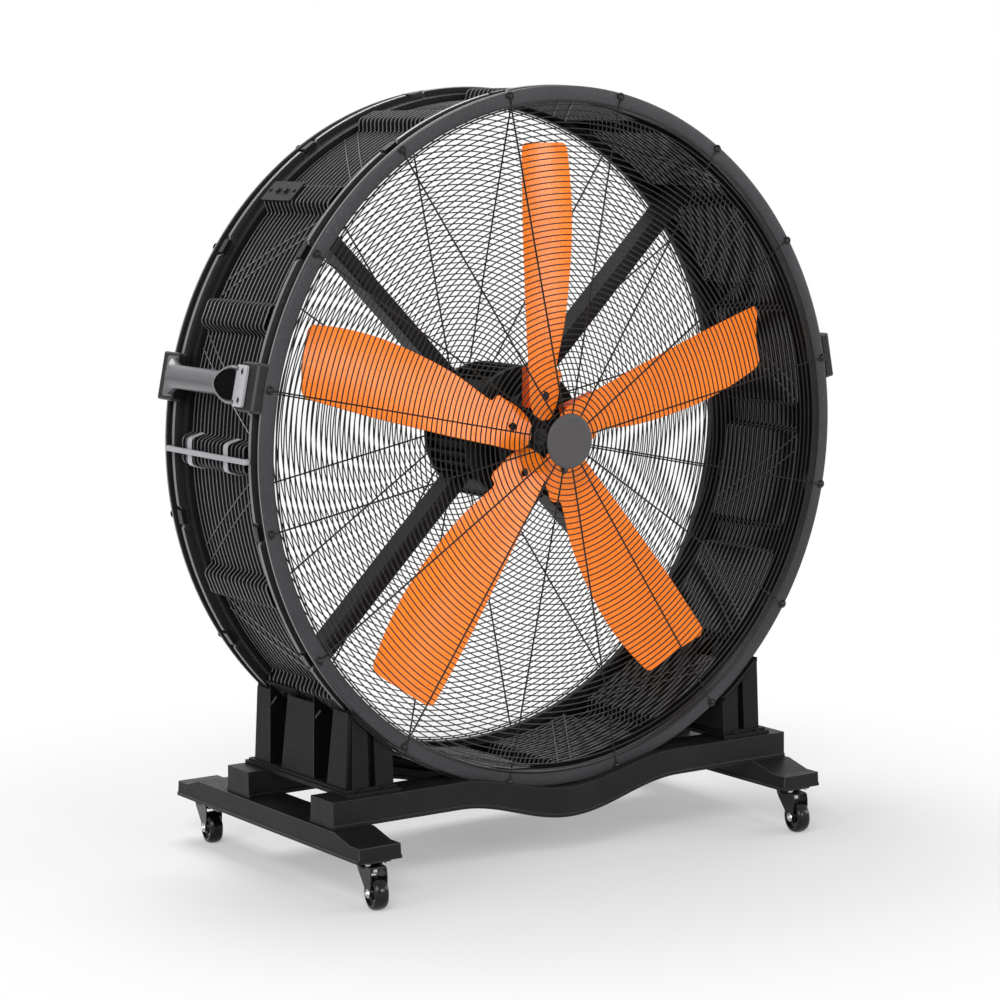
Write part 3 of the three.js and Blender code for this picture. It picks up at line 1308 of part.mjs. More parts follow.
// Put the origin under the middle of the whole outline, on the floor.
const outline = new THREE.Box3().setFromObject(fan, true);
const middle = outline.getCenter(new THREE.Vector3());
fan.position.set(-middle.x, -middle.y, -outline.min.z);
fan.updateMatrixWorld(true);

export default fan;
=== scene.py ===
# The looks of a large drum fan on casters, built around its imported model.
# Shapes are made in millimetres from the drum's centre: +X right, +Y back, +Z up.

import json
from math import atan, copysign, cos, degrees, hypot, pi, radians, sin, sqrt, tan

import bmesh
import bpy
import numpy as np
from mathutils import Matrix, Vector
from mathutils.geometry import tessellate_polygon


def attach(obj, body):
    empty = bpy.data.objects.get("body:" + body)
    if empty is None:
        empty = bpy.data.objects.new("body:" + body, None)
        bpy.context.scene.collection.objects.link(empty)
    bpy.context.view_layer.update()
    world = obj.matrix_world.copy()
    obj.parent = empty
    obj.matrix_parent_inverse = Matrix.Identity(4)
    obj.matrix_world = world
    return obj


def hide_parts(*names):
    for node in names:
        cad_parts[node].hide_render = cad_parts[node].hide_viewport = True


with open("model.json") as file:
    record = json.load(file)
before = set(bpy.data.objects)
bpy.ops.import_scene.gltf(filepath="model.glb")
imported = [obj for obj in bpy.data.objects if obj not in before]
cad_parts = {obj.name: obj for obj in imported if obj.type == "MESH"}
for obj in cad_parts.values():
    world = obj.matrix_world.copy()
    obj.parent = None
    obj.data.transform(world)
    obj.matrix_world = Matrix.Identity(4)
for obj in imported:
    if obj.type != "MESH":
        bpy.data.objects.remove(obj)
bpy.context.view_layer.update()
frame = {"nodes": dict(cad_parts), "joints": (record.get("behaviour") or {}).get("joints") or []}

JOINTS = {joint["name"]: joint for joint in frame["joints"]}
CENTRE = np.array(JOINTS["impeller_spin"]["pos_m"])
FLOOR = -1000 * CENTRE[2]
PERIODS = 16  # spokes, screws and humps round the drum
QUARTER = PERIODS // 4
STEP = 360 / PERIODS
SCREW_ANGLES = [STEP / 2 + STEP * k for k in range(PERIODS)]
SCREW_R, FACE_Y = 790, 212  # where the guards' screws sit
RIM_R, GUARD_PITCH = 764, 13.2  # the guards' outer ring and the gap between rings
WALL_R, HUMP_R, STRAP_R = 769, 795, 808  # wall, tops of its humps, tops of the tie bar's clips
HUMP_FOOT, HUMP_CORNER, HUMP_TOP = 47, 37, 27  # half the width of a hump, from foot to top
WALL_PITCH, WALL_WIRES = 16.6, 17
WALL_REACH = WALL_PITCH * (WALL_WIRES - 1) / 2
ARM_ANGLES = (45, 135, 225, 315)
BLADE_ANGLES = (90, 162, 234, 306, 18)
PITCH = radians(17)
SMOOTH_ANGLE = radians(38)
ON_AXIS = 1e-4  # a radius that keeps points apart at an axis
MERGE, WELD = 0.01, 0.004  # points this near are one, before and after bevels


# ---------- Shapes: (points, faces) ----------

def lattice(points, close_rows=False, close_columns=False):
    rows, columns = points.shape[:2]
    faces = []
    for i in range(rows if close_rows else rows - 1):
        a, b = i * columns, ((i + 1) % rows) * columns
        for j in range(columns if close_columns else columns - 1):
            k = (j + 1) % columns
            faces.append((a + j, a + k, b + k, b + j))
    return points.reshape(-1, 3), faces


def unit(rows):
    return rows / np.linalg.norm(rows, axis=1)[:, None]


def even_turns(count):
    return np.arange(count) * 2 * pi / count


def spun(profile, segments):
    """Rows of points: a (radius, y) profile at even steps round the drum's axis."""
    turn = np.radians(np.arange(segments) * 360 / segments)[:, None]
    radius, y = np.array(profile, float).T
    return np.stack([radius * np.cos(turn), y + 0 * turn, radius * np.sin(turn)], axis=2)


def lathe(profile, segments):
    """A closed (radius, y) profile turned round the drum's axis."""
    return lattice(spun(profile, segments), True, True)


def spindle(profile, segments):
    """A solid turned from a (radius, y) profile that starts and ends on the axis."""
    points, faces = lattice(spun([(max(radius, ON_AXIS), y) for radius, y in profile], segments), True)
    count = len(profile)
    faces.append([i * count for i in range(segments)])
    faces.append([i * count + count - 1 for i in range(segments)])
    return points, faces


def sweep(path, radius, sides=6, closed=False):
    """A round wire along a path."""
    path = np.array(path, float)
    if closed:
        along = np.roll(path, -1, 0) - np.roll(path, 1, 0)
    else:
        along = np.gradient(path, axis=0)
    along = unit(along)
    axis = np.array((0, 1, 0), float)
    first = unit(axis - along * (along @ axis)[:, None])
    second = np.cross(along, first)
    turn = even_turns(sides)
    ring = first[:, None] * np.cos(turn)[:, None] + second[:, None] * np.sin(turn)[:, None]
    points, faces = lattice(path[:, None] + radius * ring, closed, True)
    if not closed:
        last = (len(path) - 1) * sides
        faces += [list(range(sides)), list(range(last, last + sides))]
    return points, faces


def prism(outline, low, high, axis="y", holes=()):
    """An outline carried along an axis: (x, z) along y, (y, z) along x, (x, y) along z."""
    loops = [np.array(loop, float) for loop in (outline, *holes)]
    flat = np.vstack(loops)
    count = len(flat)
    ends = [np.column_stack([flat, np.full(count, w)]) for w in (low, high)]
    order = {"x": [2, 0, 1], "y": [0, 2, 1], "z": [0, 1, 2]}[axis]
    points = np.vstack(ends)[:, order]
    faces = []
    start = 0
    for loop in loops:
        size = len(loop)
        for i in range(size):
            a, b = start + i, start + (i + 1) % size
            faces.append((a, b, b + count, a + count))
        start += size
    if holes:
        caps = tessellate_polygon([[Vector((u, v, 0)) for u, v in loop] for loop in loops])
    else:
        caps = [range(count)]
    faces += [tuple(cap) for cap in caps] + [tuple(i + count for i in cap) for cap in caps]
    return points, faces


def rectangle(u0, v0, u1, v1):
    return [(u0, v0), (u1, v0), (u1, v1), (u0, v1)]


def block(low, high):
    (x0, y0, z0), (x1, y1, z1) = low, high
    return prism(rectangle(x0, z0, x1, z1), y0, y1)


def loft(sections):
    """A solid through closed sections with the same number of points, ends capped."""
    points = np.array(sections, float)
    flat, faces = lattice(points, False, True)
    size, last = points.shape[1], (points.shape[0] - 1) * points.shape[1]
    faces += [list(range(size)), list(range(last, last + size))]
    return flat, faces


def joined(shapes):
    points, faces, start = [], [], 0
    for part_points, part_faces in shapes:
        points.append(part_points)
        faces += [[i + start for i in face] for face in part_faces]
        start += len(part_points)
    return np.vstack(points), faces


def moved(shape, x=0, y=0, z=0):
    return shape[0] + np.array([x, y, z]), shape[1]


def turned(shape, angle):
    """Moves a shape made at the drum's +X side round the drum's axis."""
    c, s = cos(radians(angle)), sin(radians(angle))
    x, y, z = shape[0].T
    return np.column_stack([c * x - s * z, y, s * x + c * z]), shape[1]


def round_about(shape, count):
    return [turned(shape, i * 360 / count) for i in range(count)]


def rotated(shape, angle, axis):
    turn = np.array(Matrix.Rotation(radians(angle), 3, axis))
    return shape[0] @ turn.T, shape[1]


def flipped(shape, axis):
    scale = np.ones(3)
    scale[axis] = -1
    return shape[0] * scale, shape[1]


def to_bmesh(shape, merge=None):
    """A shape as a mesh that faces outwards; points nearer than merge become one."""
    bm = bmesh.new()
    corners = [bm.verts.new(point) for point in shape[0]]
    for face in shape[1]:
        bm.faces.new([corners[i] for i in face])
    bm.normal_update()
    if merge:
        bmesh.ops.remove_doubles(bm, verts=bm.verts, dist=merge)
    bmesh.ops.recalc_face_normals(bm, faces=bm.faces)
    return bm


def from_bmesh(bm):
    bm.verts.index_update()
    points = np.array([v.co[:] for v in bm.verts])
    faces = [[v.index for v in face.verts] for face in bm.faces]
    bm.free()
    return points, faces


def soften(shape, width, segments, angle=28):
    """Rounds the edges that are sharper than the angle."""
    bm = to_bmesh(shape, MERGE)
    limit = radians(angle)
    sharp = [e for e in bm.edges if e.is_manifold and e.calc_face_angle(0) > limit]
    bmesh.ops.bevel(bm, geom=sharp, offset=width, segments=segments, profile=0.5,
                    affect="EDGES", clamp_overlap=True)
    return from_bmesh(bm)


def add_object(name, data):
    ob = bpy.data.objects.new(name, data)
    bpy.context.scene.collection.objects.link(ob)
    return ob


def bare_object(shape):
    mesh = bpy.data.meshes.new("part")
    bm = to_bmesh(shape)
    bm.to_mesh(mesh)
    bm.free()
    return add_object("part", mesh)


def carve(shape, *tools, operation="DIFFERENCE"):
    """Cuts the tools out of a shape, or joins or crosses it with them."""
    target = bare_object(shape)
    others = [bare_object(tool) for tool in tools]
    for other in others:
        change = target.modifiers.new("cut", "BOOLEAN")
        change.operation = operation
        change.solver = "EXACT"
        change.object = other
    graph = bpy.context.evaluated_depsgraph_get()
    mesh = bpy.data.meshes.new_from_object(target.evaluated_get(graph))
    bm = bmesh.new()
    bm.from_mesh(mesh)
    bmesh.ops.dissolve_limit(bm, angle_limit=radians(0.5), verts=bm.verts, edges=bm.edges)
    bpy.data.meshes.remove(mesh)
    for ob in (target, *others):
        bpy.data.objects.remove(ob)
    return from_bmesh(bm)


def rounded(points, radius, steps=3):
    """An open 2-D or 3-D line with its inner corners turned into arcs."""
    points = [np.array(p, float) for p in points]
    line = [points[0]]
    for before, here, after in zip(points, points[1:], points[2:]):
        a, b = before - here, after - here
        reach = min(radius, np.linalg.norm(a) * 0.45, np.linalg.norm(b) * 0.45)
        start = here + a / np.linalg.norm(a) * reach
        end = here + b / np.linalg.norm(b) * reach
        for i in range(steps + 1):
            t = i / steps
            line.append((1 - t) ** 2 * start + 2 * t * (1 - t) * here + t ** 2 * end)
    line.append(points[-1])
    return np.array(line)


def round_loop(points, radius, steps):
    """A closed outline with its corners turned into arcs."""
    count = len(points)
    wrapped = [points[i % count] for i in range(-1, count + 1)]
    return rounded(wrapped, radius, steps)[1:-1]


def sheet_profile(line, thickness):
    """The closed section of a sheet that follows a line."""
    line = np.array(line, float)
    along = unit(np.gradient(line, axis=0))
    side = np.column_stack([-along[:, 1], along[:, 0]]) * thickness / 2
    return np.vstack([line + side, (line - side)[::-1]])


def circle(radius, count, centre=(0, 0), squash=1.0):
    turn = even_turns(count)
    return np.column_stack([centre[0] + radius * np.cos(turn),
                            centre[1] + squash * radius * np.sin(turn)])


def polar(radius, angle, y=0):
    turn = radians(angle)
    return np.array([radius * cos(turn), y, radius * sin(turn)])


# ---------- Finishes ----------

CLOUD_SCALE, DUST_SCALE, STREAK_SCALE = 4.0, 9.0, 60
STREAK_STRETCH = (1, 1, 40)
DUST_TONE, DUST_COVER = 0.35, 0.35
ROUGHNESS_DRIFT = 0.06
RELIEF_DEPTH = 0.0004
COAT_ROUGHNESS = 0.2


def linear(r, g, b):
    return tuple(((c / 255 + 0.055) / 1.055) ** 2.4 if c > 10 else c / 3295 for c in (r, g, b)) + (1,)


def shade(colour, factor, lift=0.0):
    return tuple(min(1, c * factor + lift) for c in colour[:3]) + (1,)


def set_inputs(tree, node, inputs):
    """Sets each input to a value, or links it to another node's output."""
    for name, value in inputs.items():
        if isinstance(value, bpy.types.NodeSocket):
            tree.links.new(value, node.inputs[name])
        else:
            node.inputs[name].default_value = value


def add_node(tree, kind, inputs, output=0, **settings):
    """Adds a node and gives one of its outputs."""
    node = tree.nodes.new("ShaderNode" + kind)
    for name, value in settings.items():
        setattr(node, name, value)
    set_inputs(tree, node, inputs)
    return node.outputs[output]


def noise(tree, place, scale, detail):
    return add_node(tree, "TexNoise", {"Vector": place, "Scale": scale, "Detail": detail}, "Fac")


def span(tree, source, low, high, start=0.3, end=0.7):
    """A value that goes from low to high while the source goes from start to end."""
    return add_node(tree, "MapRange", {"Value": source, "From Min": start, "From Max": end,
                                       "To Min": low, "To Max": high}, "Result")


def mixed(tree, share, first, second):
    """A mix of two colours, which are inputs 6 and 7 and output 2 of the node."""
    return add_node(tree, "Mix", {"Factor": share, 6: first, 7: second}, 2, data_type="RGBA")


def tone(tree, place, base, cloud, grain, scale, dust):
    """A colour that drifts, with fine specks and, where asked for, dust."""
    drift = span(tree, noise(tree, place, CLOUD_SCALE, 3), 0, 1)
    colour = mixed(tree, drift, shade(base, 1 - cloud), shade(base, 1 + cloud))
    specks = span(tree, noise(tree, place, scale * 0.6, 1), 0, 0.6, 0.55, 0.75)
    colour = mixed(tree, specks, colour, shade(base, 1 + 2 * grain, 0.004))
    if dust:
        pale = tuple(c + (DUST_TONE - c) * DUST_COVER for c in base[:3]) + (1,)
        cover = span(tree, noise(tree, place, DUST_SCALE, 5), 0, dust, 0.5, 0.8)
        colour = mixed(tree, cover, colour, pale)
    return colour


def finish(name, colour, roughness, metallic=0.0, specular=0.5, coat=0.0, cloud=0.12,
           grain=0.15, scale=900, bump=0.12, streaks=False, dust=0.0):
    """A procedural surface with fine grain in its roughness and relief."""
    material = bpy.data.materials.new(name)
    material.use_nodes = True
    tree = material.node_tree
    place = add_node(tree, "TexCoord", {}, "Object")
    rough = span(tree, noise(tree, place, scale * 0.25, 2), roughness - ROUGHNESS_DRIFT,
                 roughness + ROUGHNESS_DRIFT)
    if streaks:
        stretched = add_node(tree, "Mapping", {"Vector": place, "Scale": STREAK_STRETCH})
        height = noise(tree, stretched, STREAK_SCALE, 2)
    else:
        height = noise(tree, place, scale, 2)
    normal = add_node(tree, "Bump", {"Height": height, "Strength": bump, "Distance": RELIEF_DEPTH})
    set_inputs(tree, tree.nodes["Principled BSDF"], {
        "Base Color": tone(tree, place, linear(*colour), cloud, grain, scale, dust),
        "Roughness": rough, "Normal": normal, "Metallic": metallic, "Specular IOR Level": specular,
        "Coat Weight": coat, "Coat Roughness": COAT_ROUGHNESS})
    return material


RING = finish("ring paint", (47, 47, 49), 0.4, specular=0.14, cloud=0.16, grain=0.25, scale=260,
              bump=0.5)
# Painted highlight: a lighter grey for the ring's rolled edge and bead, for the light their curves catch.
RING_HIGHLIGHT = finish("ring painted highlight", (98, 98, 100), 0.34, specular=0.3, grain=0.05, bump=0.02)
# Painted shade: near-black for the ring's groove and the band behind its bead, where shade falls on the
# same sheet as the face.
RING_SHADE = finish("ring painted shade", (13, 13, 14), 0.5, specular=0.09, scale=400, bump=0.3)
WIRE = finish("wire paint", (13, 13, 13), 0.36, specular=0.22, scale=1200, bump=0.05)
# Painted highlight: the wall's wires are dark paint like the guards' wires, drawn this much lighter for the
# light they catch.
LIT_HOOP = finish("hoop wire painted highlight", (72, 72, 74), 0.26, scale=1200, bump=0.05)
# Painted shade: near-black, darker and duller than the fan's black paints, for deep shade between the
# wall's wires, inside the handles' bores and at the backs of the saddles' recesses.
SHADE_BLACK = finish("painted shade black", (6, 6, 6), 0.7, specular=0.03, scale=500, bump=0.2)
DISC = finish("disc plastic", (58, 56, 57), 0.48, specular=0.22, scale=1500, bump=0.18)
MOTOR = finish("motor paint", (10, 11, 11), 0.45, specular=0.09, scale=500, bump=0.3)
ARM = finish("arm paint", (20, 20, 21), 0.4, specular=0.14, scale=700, bump=0.14)
BLADE = finish("blade orange", (249, 126, 22), 0.27, specular=0.34, cloud=0.05, grain=0.03, bump=0.14)
# Painted shade: a darker copy of the blade orange for the folded roots, which sit in shade behind the
# blades.
SHADED_ORANGE = finish("blade orange painted shade", (206, 78, 16), 0.45, specular=0.3, cloud=0.05, grain=0.03, bump=0.14)
HUB = finish("hub black", (14, 14, 15), 0.42, specular=0.15, scale=600, bump=0.2)
ZINC = finish("zinc plating", (188, 190, 192), 0.3, metallic=0.9, cloud=0.1, scale=1400)
DARK_STEEL = finish("blackened steel", (44, 44, 46), 0.36, specular=0.3, scale=1400)
STEEL = finish("ground steel", (150, 152, 155), 0.34, metallic=0.95, cloud=0.08, streaks=True)
COPPER = finish("stator windings", (150, 92, 58), 0.45, metallic=0.7, cloud=0.15, streaks=True, bump=0.4)
HANDLE = finish("handle grey", (72, 72, 75), 0.34, cloud=0.06, grain=0.02, scale=700, bump=0.005)
# Painted highlight: the tube's grey drawn lighter for the front plates, for the light that falls on them;
# the rear plates keep the tube's grey.
LIT_HANDLE_GREY = finish("handle grey painted highlight", (150, 150, 153), 0.34, specular=0.4, grain=0.05, scale=700,
               bump=0.08)
BAR = finish("bar grey", (140, 140, 143), 0.36, specular=0.35, scale=700, bump=0.14)
BRACKET = finish("bracket black", (25, 25, 26), 0.46, specular=0.14, bump=0.25)
SADDLE = finish("saddle black", (12, 11, 11), 0.46, specular=0.1, scale=420, bump=0.4)
BASE = finish("base paint", (16, 15, 16), 0.44, specular=0.13, scale=420, bump=0.36, dust=0.03)
RUBBER = finish("pad rubber", (12, 12, 12), 0.8, specular=0.08, scale=400, bump=0.4)
FORK = finish("fork black", (9, 9, 10), 0.34, specular=0.22, bump=0.1)
WHEEL = finish("wheel black", (7, 7, 8), 0.24, specular=0.2, coat=0.06, scale=500, bump=0.08)
BOLT = finish("black bolt", (14, 14, 15), 0.3, specular=0.25, scale=1200, bump=0.1)
# Painted highlight: a lighter grey on the narrow faces of rounded outer edges, for the light their bevels
# catch.
EDGE_HIGHLIGHT = finish("painted edge highlight", (48, 47, 47), 0.38, specular=0.2, bump=0.1)

HIGHLIGHT_WIDTH, HIGHLIGHT_LENGTH = 2.6, 12  # a painted edge highlight is at most so wide and at least so long
HIGHLIGHT_ANGLE = 0.15  # and turns by more than this, in radians, at both its sides


def mark_edge_highlights(bm):
    """Gives the narrow faces of rounded outer edges the second finish, a painted highlight."""
    for face in bm.faces:
        longest = max(edge.calc_length() for edge in face.edges)
        if longest < HIGHLIGHT_LENGTH or face.calc_area() > HIGHLIGHT_WIDTH * longest:
            continue
        sides = [e for e in face.edges if e.calc_length() > 0.5 * longest]
        if all(e.is_manifold and e.is_convex and e.calc_face_angle(0) > HIGHLIGHT_ANGLE for e in sides):
            face.material_index = 1


def piece(name, shapes, material, nodes=(), body="body", weighted=True, highlight_finish=None):
    """Makes a piece in metres at its place, on its body, instead of the nodes it replaces."""
    bm = to_bmesh(joined(shapes) if isinstance(shapes, list) else shapes, WELD)
    if highlight_finish:
        mark_edge_highlights(bm)
    mesh = bpy.data.meshes.new(name)
    bm.to_mesh(mesh)
    bm.free()
    mesh.transform(Matrix.Translation(Vector(CENTRE)) @ Matrix.Scale(0.001, 4))
    mesh.materials.append(material)
    if highlight_finish:
        mesh.materials.append(highlight_finish)
    mesh.shade_smooth()
    mesh.set_sharp_from_angle(angle=SMOOTH_ANGLE)
    ob = add_object(name, mesh)
    if weighted:
        even = ob.modifiers.new("even normals", "WEIGHTED_NORMAL")
        even.keep_sharp = True
    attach(ob, body)
    if nodes:
        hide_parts(*nodes)


def side_pieces(side, parts, place, highlight_finish=None):
    """Fixed pieces of the left or right side, from rows of name, shape, finish, slot and nodes."""
    for name, shape, material, slot, *nodes in parts:
        nodes = [f"{side}_{node}" for node in nodes]
        piece(f"{side}_{name}", place(shape), material, nodes, highlight_finish=highlight_finish)


def hex_bolt(radius, height, washer=1.6, seat=0.0):
    """A hexagon head on a washer, pointing to -Y from the seat."""
    head = prism(circle(radius, 6), seat - height, seat)
    shapes = [soften(head, radius * 0.1, 2)]
    if washer:
        rim = radius * 1.35
        shapes.append(soften(spindle(rectangle(0, seat - washer, rim, seat), 24), 0.4, 1))
    return joined(shapes)


# ---------- Drum ----------

RING_LINE = [(765.3, 191), (765.3, 206.5), (766.6, 209.6), (770, 210.8), (792, 210.8), (796.6, 209.4),
             (798.7, 205.6), (798.7, 201.4), (796.6, 198.6), (790, 197), (787.4, 194.6), (787, 190.5),
             (787, 184), (787.8, 180.6), (791.6, 178.8), (796.6, 176), (799.4, 172.2), (800.4, 170.2),
             (800.8, 168), (800.4, 165.8), (799.4, 163.6), (796.6, 160.4), (791, 158.4), (786.6, 156.6),
             (785, 153), (785, 138), (784, 136), (779, 134.8), (768.4, 134.4)]
RING_SHEET = 2.6
# The roll and bead take the painted highlight grey and the groove and band the painted shade black; all are
# one sheet with the face.
RING_PARTS = (("end_ring", 0, 6, RING), ("ring_roll", 6, 7, RING_HIGHLIGHT), ("ring_groove", 7, 16, RING_SHADE),
              ("ring_bead", 16, 20, RING_HIGHLIGHT), ("ring_band", 20, 28, RING_SHADE))
BEAD_LOW, BEAD_HIGH, BEAD_FOOT_R = 156, 180, 787  # where the bead is, along y and by radius
PRESSED, PRESS_RUN, PRESS_DEPTH = 1.9, 0.8, 0.7  # degrees beside a screw; share of the bead
SCREW_HEAD = [(0, -4.6), (3.2, -4.4), (5.4, -3.2), (6.4, -1.4), (6.4, -0.6), (9, -0.6), (9, 0.6), (0, 0.6)]
GUARD_RISE = 14.4  # the front guard is domed by this much
FIRST_RING_R, EYE_R = 58.0, 8.4
RING_WIRE, RIM_WIRE, SPOKE_WIRE, HOOP_WIRE, CROSS_WIRE = 1.5, 2.0, 2.0, 1.9, 1.3  # radii


def ring_angles():
    """Angles round the drum, closer together beside each screw, where the bead is pressed flat."""
    near = [-2.3, -1.9, -1.5, -1.1, -0.55, 0, 0.55, 1.1, 1.5, 1.9, 2.3]
    local = np.array([*np.arange(-11.25, -2.4, 1.25), *near, *np.arange(2.5, 11.2, 1.25)])
    return np.concatenate([angle + local for angle in SCREW_ANGLES])


def ring_sheet(first, last):
    """Part of a ring's section turned round the drum, its bead pressed flat beside each screw."""
    whole = sheet_profile(RING_LINE, RING_SHEET)
    count = len(whole)
    profile = np.vstack([whole[first:last + 1], whole[count - 1 - last:count - first]])
    angles = ring_angles()
    turn = np.radians(angles)
    offset = np.abs(angles % STEP - STEP / 2)
    flat = np.clip((PRESSED - offset) / PRESS_RUN, 0, 1)
    radius = np.tile(profile[:, 0], (len(angles), 1))
    bead = (profile[:, 1] < BEAD_HIGH) & (profile[:, 1] > BEAD_LOW)
    height = np.maximum(0, profile[bead, 0] - BEAD_FOOT_R)
    radius[:, bead] -= flat[:, None] * PRESS_DEPTH * height[None]
    points = np.stack([radius * np.cos(turn)[:, None], np.tile(profile[:, 1], (len(angles), 1)),
                       radius * np.sin(turn)[:, None]], axis=2)
    return lattice(points, True, True)


def guard_screws():
    """The screws of the front guard, each with a clip on the ring's bead behind it."""
    screw = joined([spindle(SCREW_HEAD, 20), prism(circle(2.6, 6), -4.9, -4.3)])
    clip = soften(block((786, -176, -17), (801.6, -158, 17)), 1.2, 2)
    shapes = []
    for angle in SCREW_ANGLES:
        x, _, z = polar(SCREW_R, angle)
        shapes += [moved(screw, x, -FACE_Y - 1.0, z), turned(clip, angle)]
    return joined(shapes)


def guard_level(radius, rise):
    """How far out the rings of a guard are, if its middle rises by so much."""
    return FACE_Y + 3.0 + rise * (1 - radius / RIM_R)


def guard_rings(rise):
    """The fine rings of the rear guard, out to its thicker rim."""
    radii = [FIRST_RING_R]
    while radii[-1] + GUARD_PITCH < RIM_R - 6:
        radii.append(radii[-1] + GUARD_PITCH)
    shapes = []
    for radius in [*radii, RIM_R - 1]:
        segments = int(min(180, max(40, radius / 3.2)))
        turn = even_turns(segments)
        path = np.column_stack([radius * np.cos(turn), np.full(segments, guard_level(radius, rise)),
                                radius * np.sin(turn)])
        wire = RING_WIRE if radius < RIM_R - 2 else RIM_WIRE
        shapes.append(sweep(path, wire, closed=True))
    return shapes


def guard_spokes(rise):
    """Sixteen spokes just inside the rings; each ends in an eye round its screw."""
    shapes = []
    eye_y = FACE_Y + 2.2
    for angle in SCREW_ANGLES:
        path = [polar(r, angle, guard_level(r, rise) - 3.2) for r in np.linspace(46, 770, 14)]
        path.append(polar(777, angle, eye_y))
        eye = polar(SCREW_R, angle, eye_y)
        out, across = polar(1, angle), polar(1, angle + 90)
        for turn in np.radians(np.arange(195, 195 + 290, 29)):
            path.append(eye + EYE_R * (out * cos(turn) + across * sin(turn)))
        shapes.append(sweep(path, SPOKE_WIRE))
    return shapes


def hump_path(centre):
    """Points of one hump in the drum's plane, from foot to foot."""
    line = []
    for across in (-HUMP_FOOT, -HUMP_CORNER, -HUMP_TOP, HUMP_TOP, HUMP_CORNER, HUMP_FOOT):
        out = HUMP_R if abs(across) == HUMP_TOP else sqrt(WALL_R ** 2 - across ** 2)
        line.append((out, across))
    turn = radians(centre)
    c, s = cos(turn), sin(turn)
    return [(c * u - s * v, s * u + c * v) for u, v in rounded(line, 9)]


def hoop_path(start, y):
    """A quarter of the wall's outline from the start angle, with a hump in each of its periods."""
    foot = degrees(HUMP_FOOT / WALL_R)
    path = []
    for i in range(1, QUARTER + 1):
        centre = start + STEP * i
        low, high = centre - STEP + foot + 0.3, centre - foot - 0.3
        path += [polar(WALL_R, a)[[0, 2]] for a in np.linspace(low, high, 8)]
        path += hump_path(centre)
    path.append(polar(WALL_R, start + STEP * QUARTER + foot + 0.28)[[0, 2]])
    path = np.array(path)
    return np.column_stack([path[:, 0], np.full(len(path), y), path[:, 1]])


def wall_skin(start):
    """The thin wall of a quarter, and what closes the ends of its humps."""
    line = hoop_path(start, 0)[:, [0, 2]]
    reach = WALL_REACH + 0.6
    shapes = [prism(sheet_profile(line, 1.2), -reach, reach)]
    for i in range(1, QUARTER + 1):
        hump = np.array(hump_path(start + STEP * i))
        foot = np.array([hump[-1], hump[0]])
        foot *= (WALL_R - 2) / np.linalg.norm(foot, axis=1)[:, None]
        for low in (-reach, reach - 1):
            shapes.append(prism([*hump, *foot], low, low + 1))
    return shapes


def wall_wires(start):
    """The hoop wires of a quarter, and pairs of wires that cross them, outside and inside."""
    shapes = []
    for i in range(WALL_WIRES):
        y = WALL_PITCH * (i - (WALL_WIRES - 1) / 2)
        shapes.append(sweep(hoop_path(start, y), HOOP_WIRE))
    reach = WALL_REACH + 2
    for i in range(QUARTER):
        low, high = start + STEP * i + 4.4, start + STEP * (i + 1) - 4.4
        if i % 2:
            low, high = high, low
        for shift in (-1.4, 1.4):
            for radius in (WALL_R - 3, WALL_R + 3):
                path = [polar(radius, low + (high - low) * t + shift, reach * (2 * t - 1))
                        for t in np.linspace(0, 1, 9)]
                shapes.append(sweep(path, CROSS_WIRE))
    return shapes


def make_drum():
    for part, first, last, material in RING_PARTS:
        sheet = ring_sheet(first, last)
        for name, shape in (("rear", sheet), ("front", flipped(sheet, 1))):
            node = [f"{name}_ring"] if part == "end_ring" else ()
            piece(f"{name}_{part}", shape, material, node)
    screws = guard_screws()
    piece("front_guard_screws", screws, BOLT)
    piece("rear_guard_screws", flipped(screws, 1), BOLT)
    front = flipped(joined(guard_rings(GUARD_RISE) + guard_spokes(GUARD_RISE)), 1)
    rear = joined(guard_rings(0) + guard_spokes(0))
    for name, shape in (("front", front), ("rear", rear)):
        piece(f"{name}_guard_wires", shape, WIRE, [f"{name}_grille"], weighted=False)
    for i, start in enumerate((0, 90, 180, 270), 1):
        # The wall is dark; its skin and hump ends take the painted shade black, darker still, so the gaps
        # between the wires read as deep shade.
        piece(f"side_wall_skin_{i}", wall_skin(start), SHADE_BLACK, [f"side_wall_panel_{i}"],
              weighted=False)
        piece(f"side_wall_wires_{i}", wall_wires(start), LIT_HOOP, weighted=False)
    disc = spindle([(0, -235.6), (30, -235.6), (54, -235.2), (58, -234.6), (61.6, -233.4), (63, -231.4),
                    (63, -229.8), (61.4, -229.2), (0, -229.2)], 96)
    piece("guard_centre_disc", disc, DISC, ["hub_cover_disc"])


# ---------- Motor and arms ----------

MOTOR_R, CORE_R = 160, 146  # over the fins and between them
PAD_HALF, FINS = 23, 8  # flats for the arms, and fins between two flats
MOTOR_FRONT, MOTOR_REAR = -39.7, 112.3
FRONT_COVER = [(0, -70), (24, -70), (26, -71.6), (44, -71.6), (48, -69.5), (60, -66.5), (118, -60.6),
               (138, -60), (152, -58.6), (158.6, -54), (160, -48), (160, -40.2), (0, -40.2)]
REAR_COVER = [(0, 112.8), (160, 112.8), (160, 124), (158, 128.6), (150, 132.4), (120, 133), (52, 133),
              (48, 132.6), (0, 132.6)]
ARM_START, CLAMP_LOW, CLAMP_HIGH = 160.3, HUMP_R + 2.6, HUMP_R + 6.6
ARM_BOLTS_Y = (59.4, 92.6)


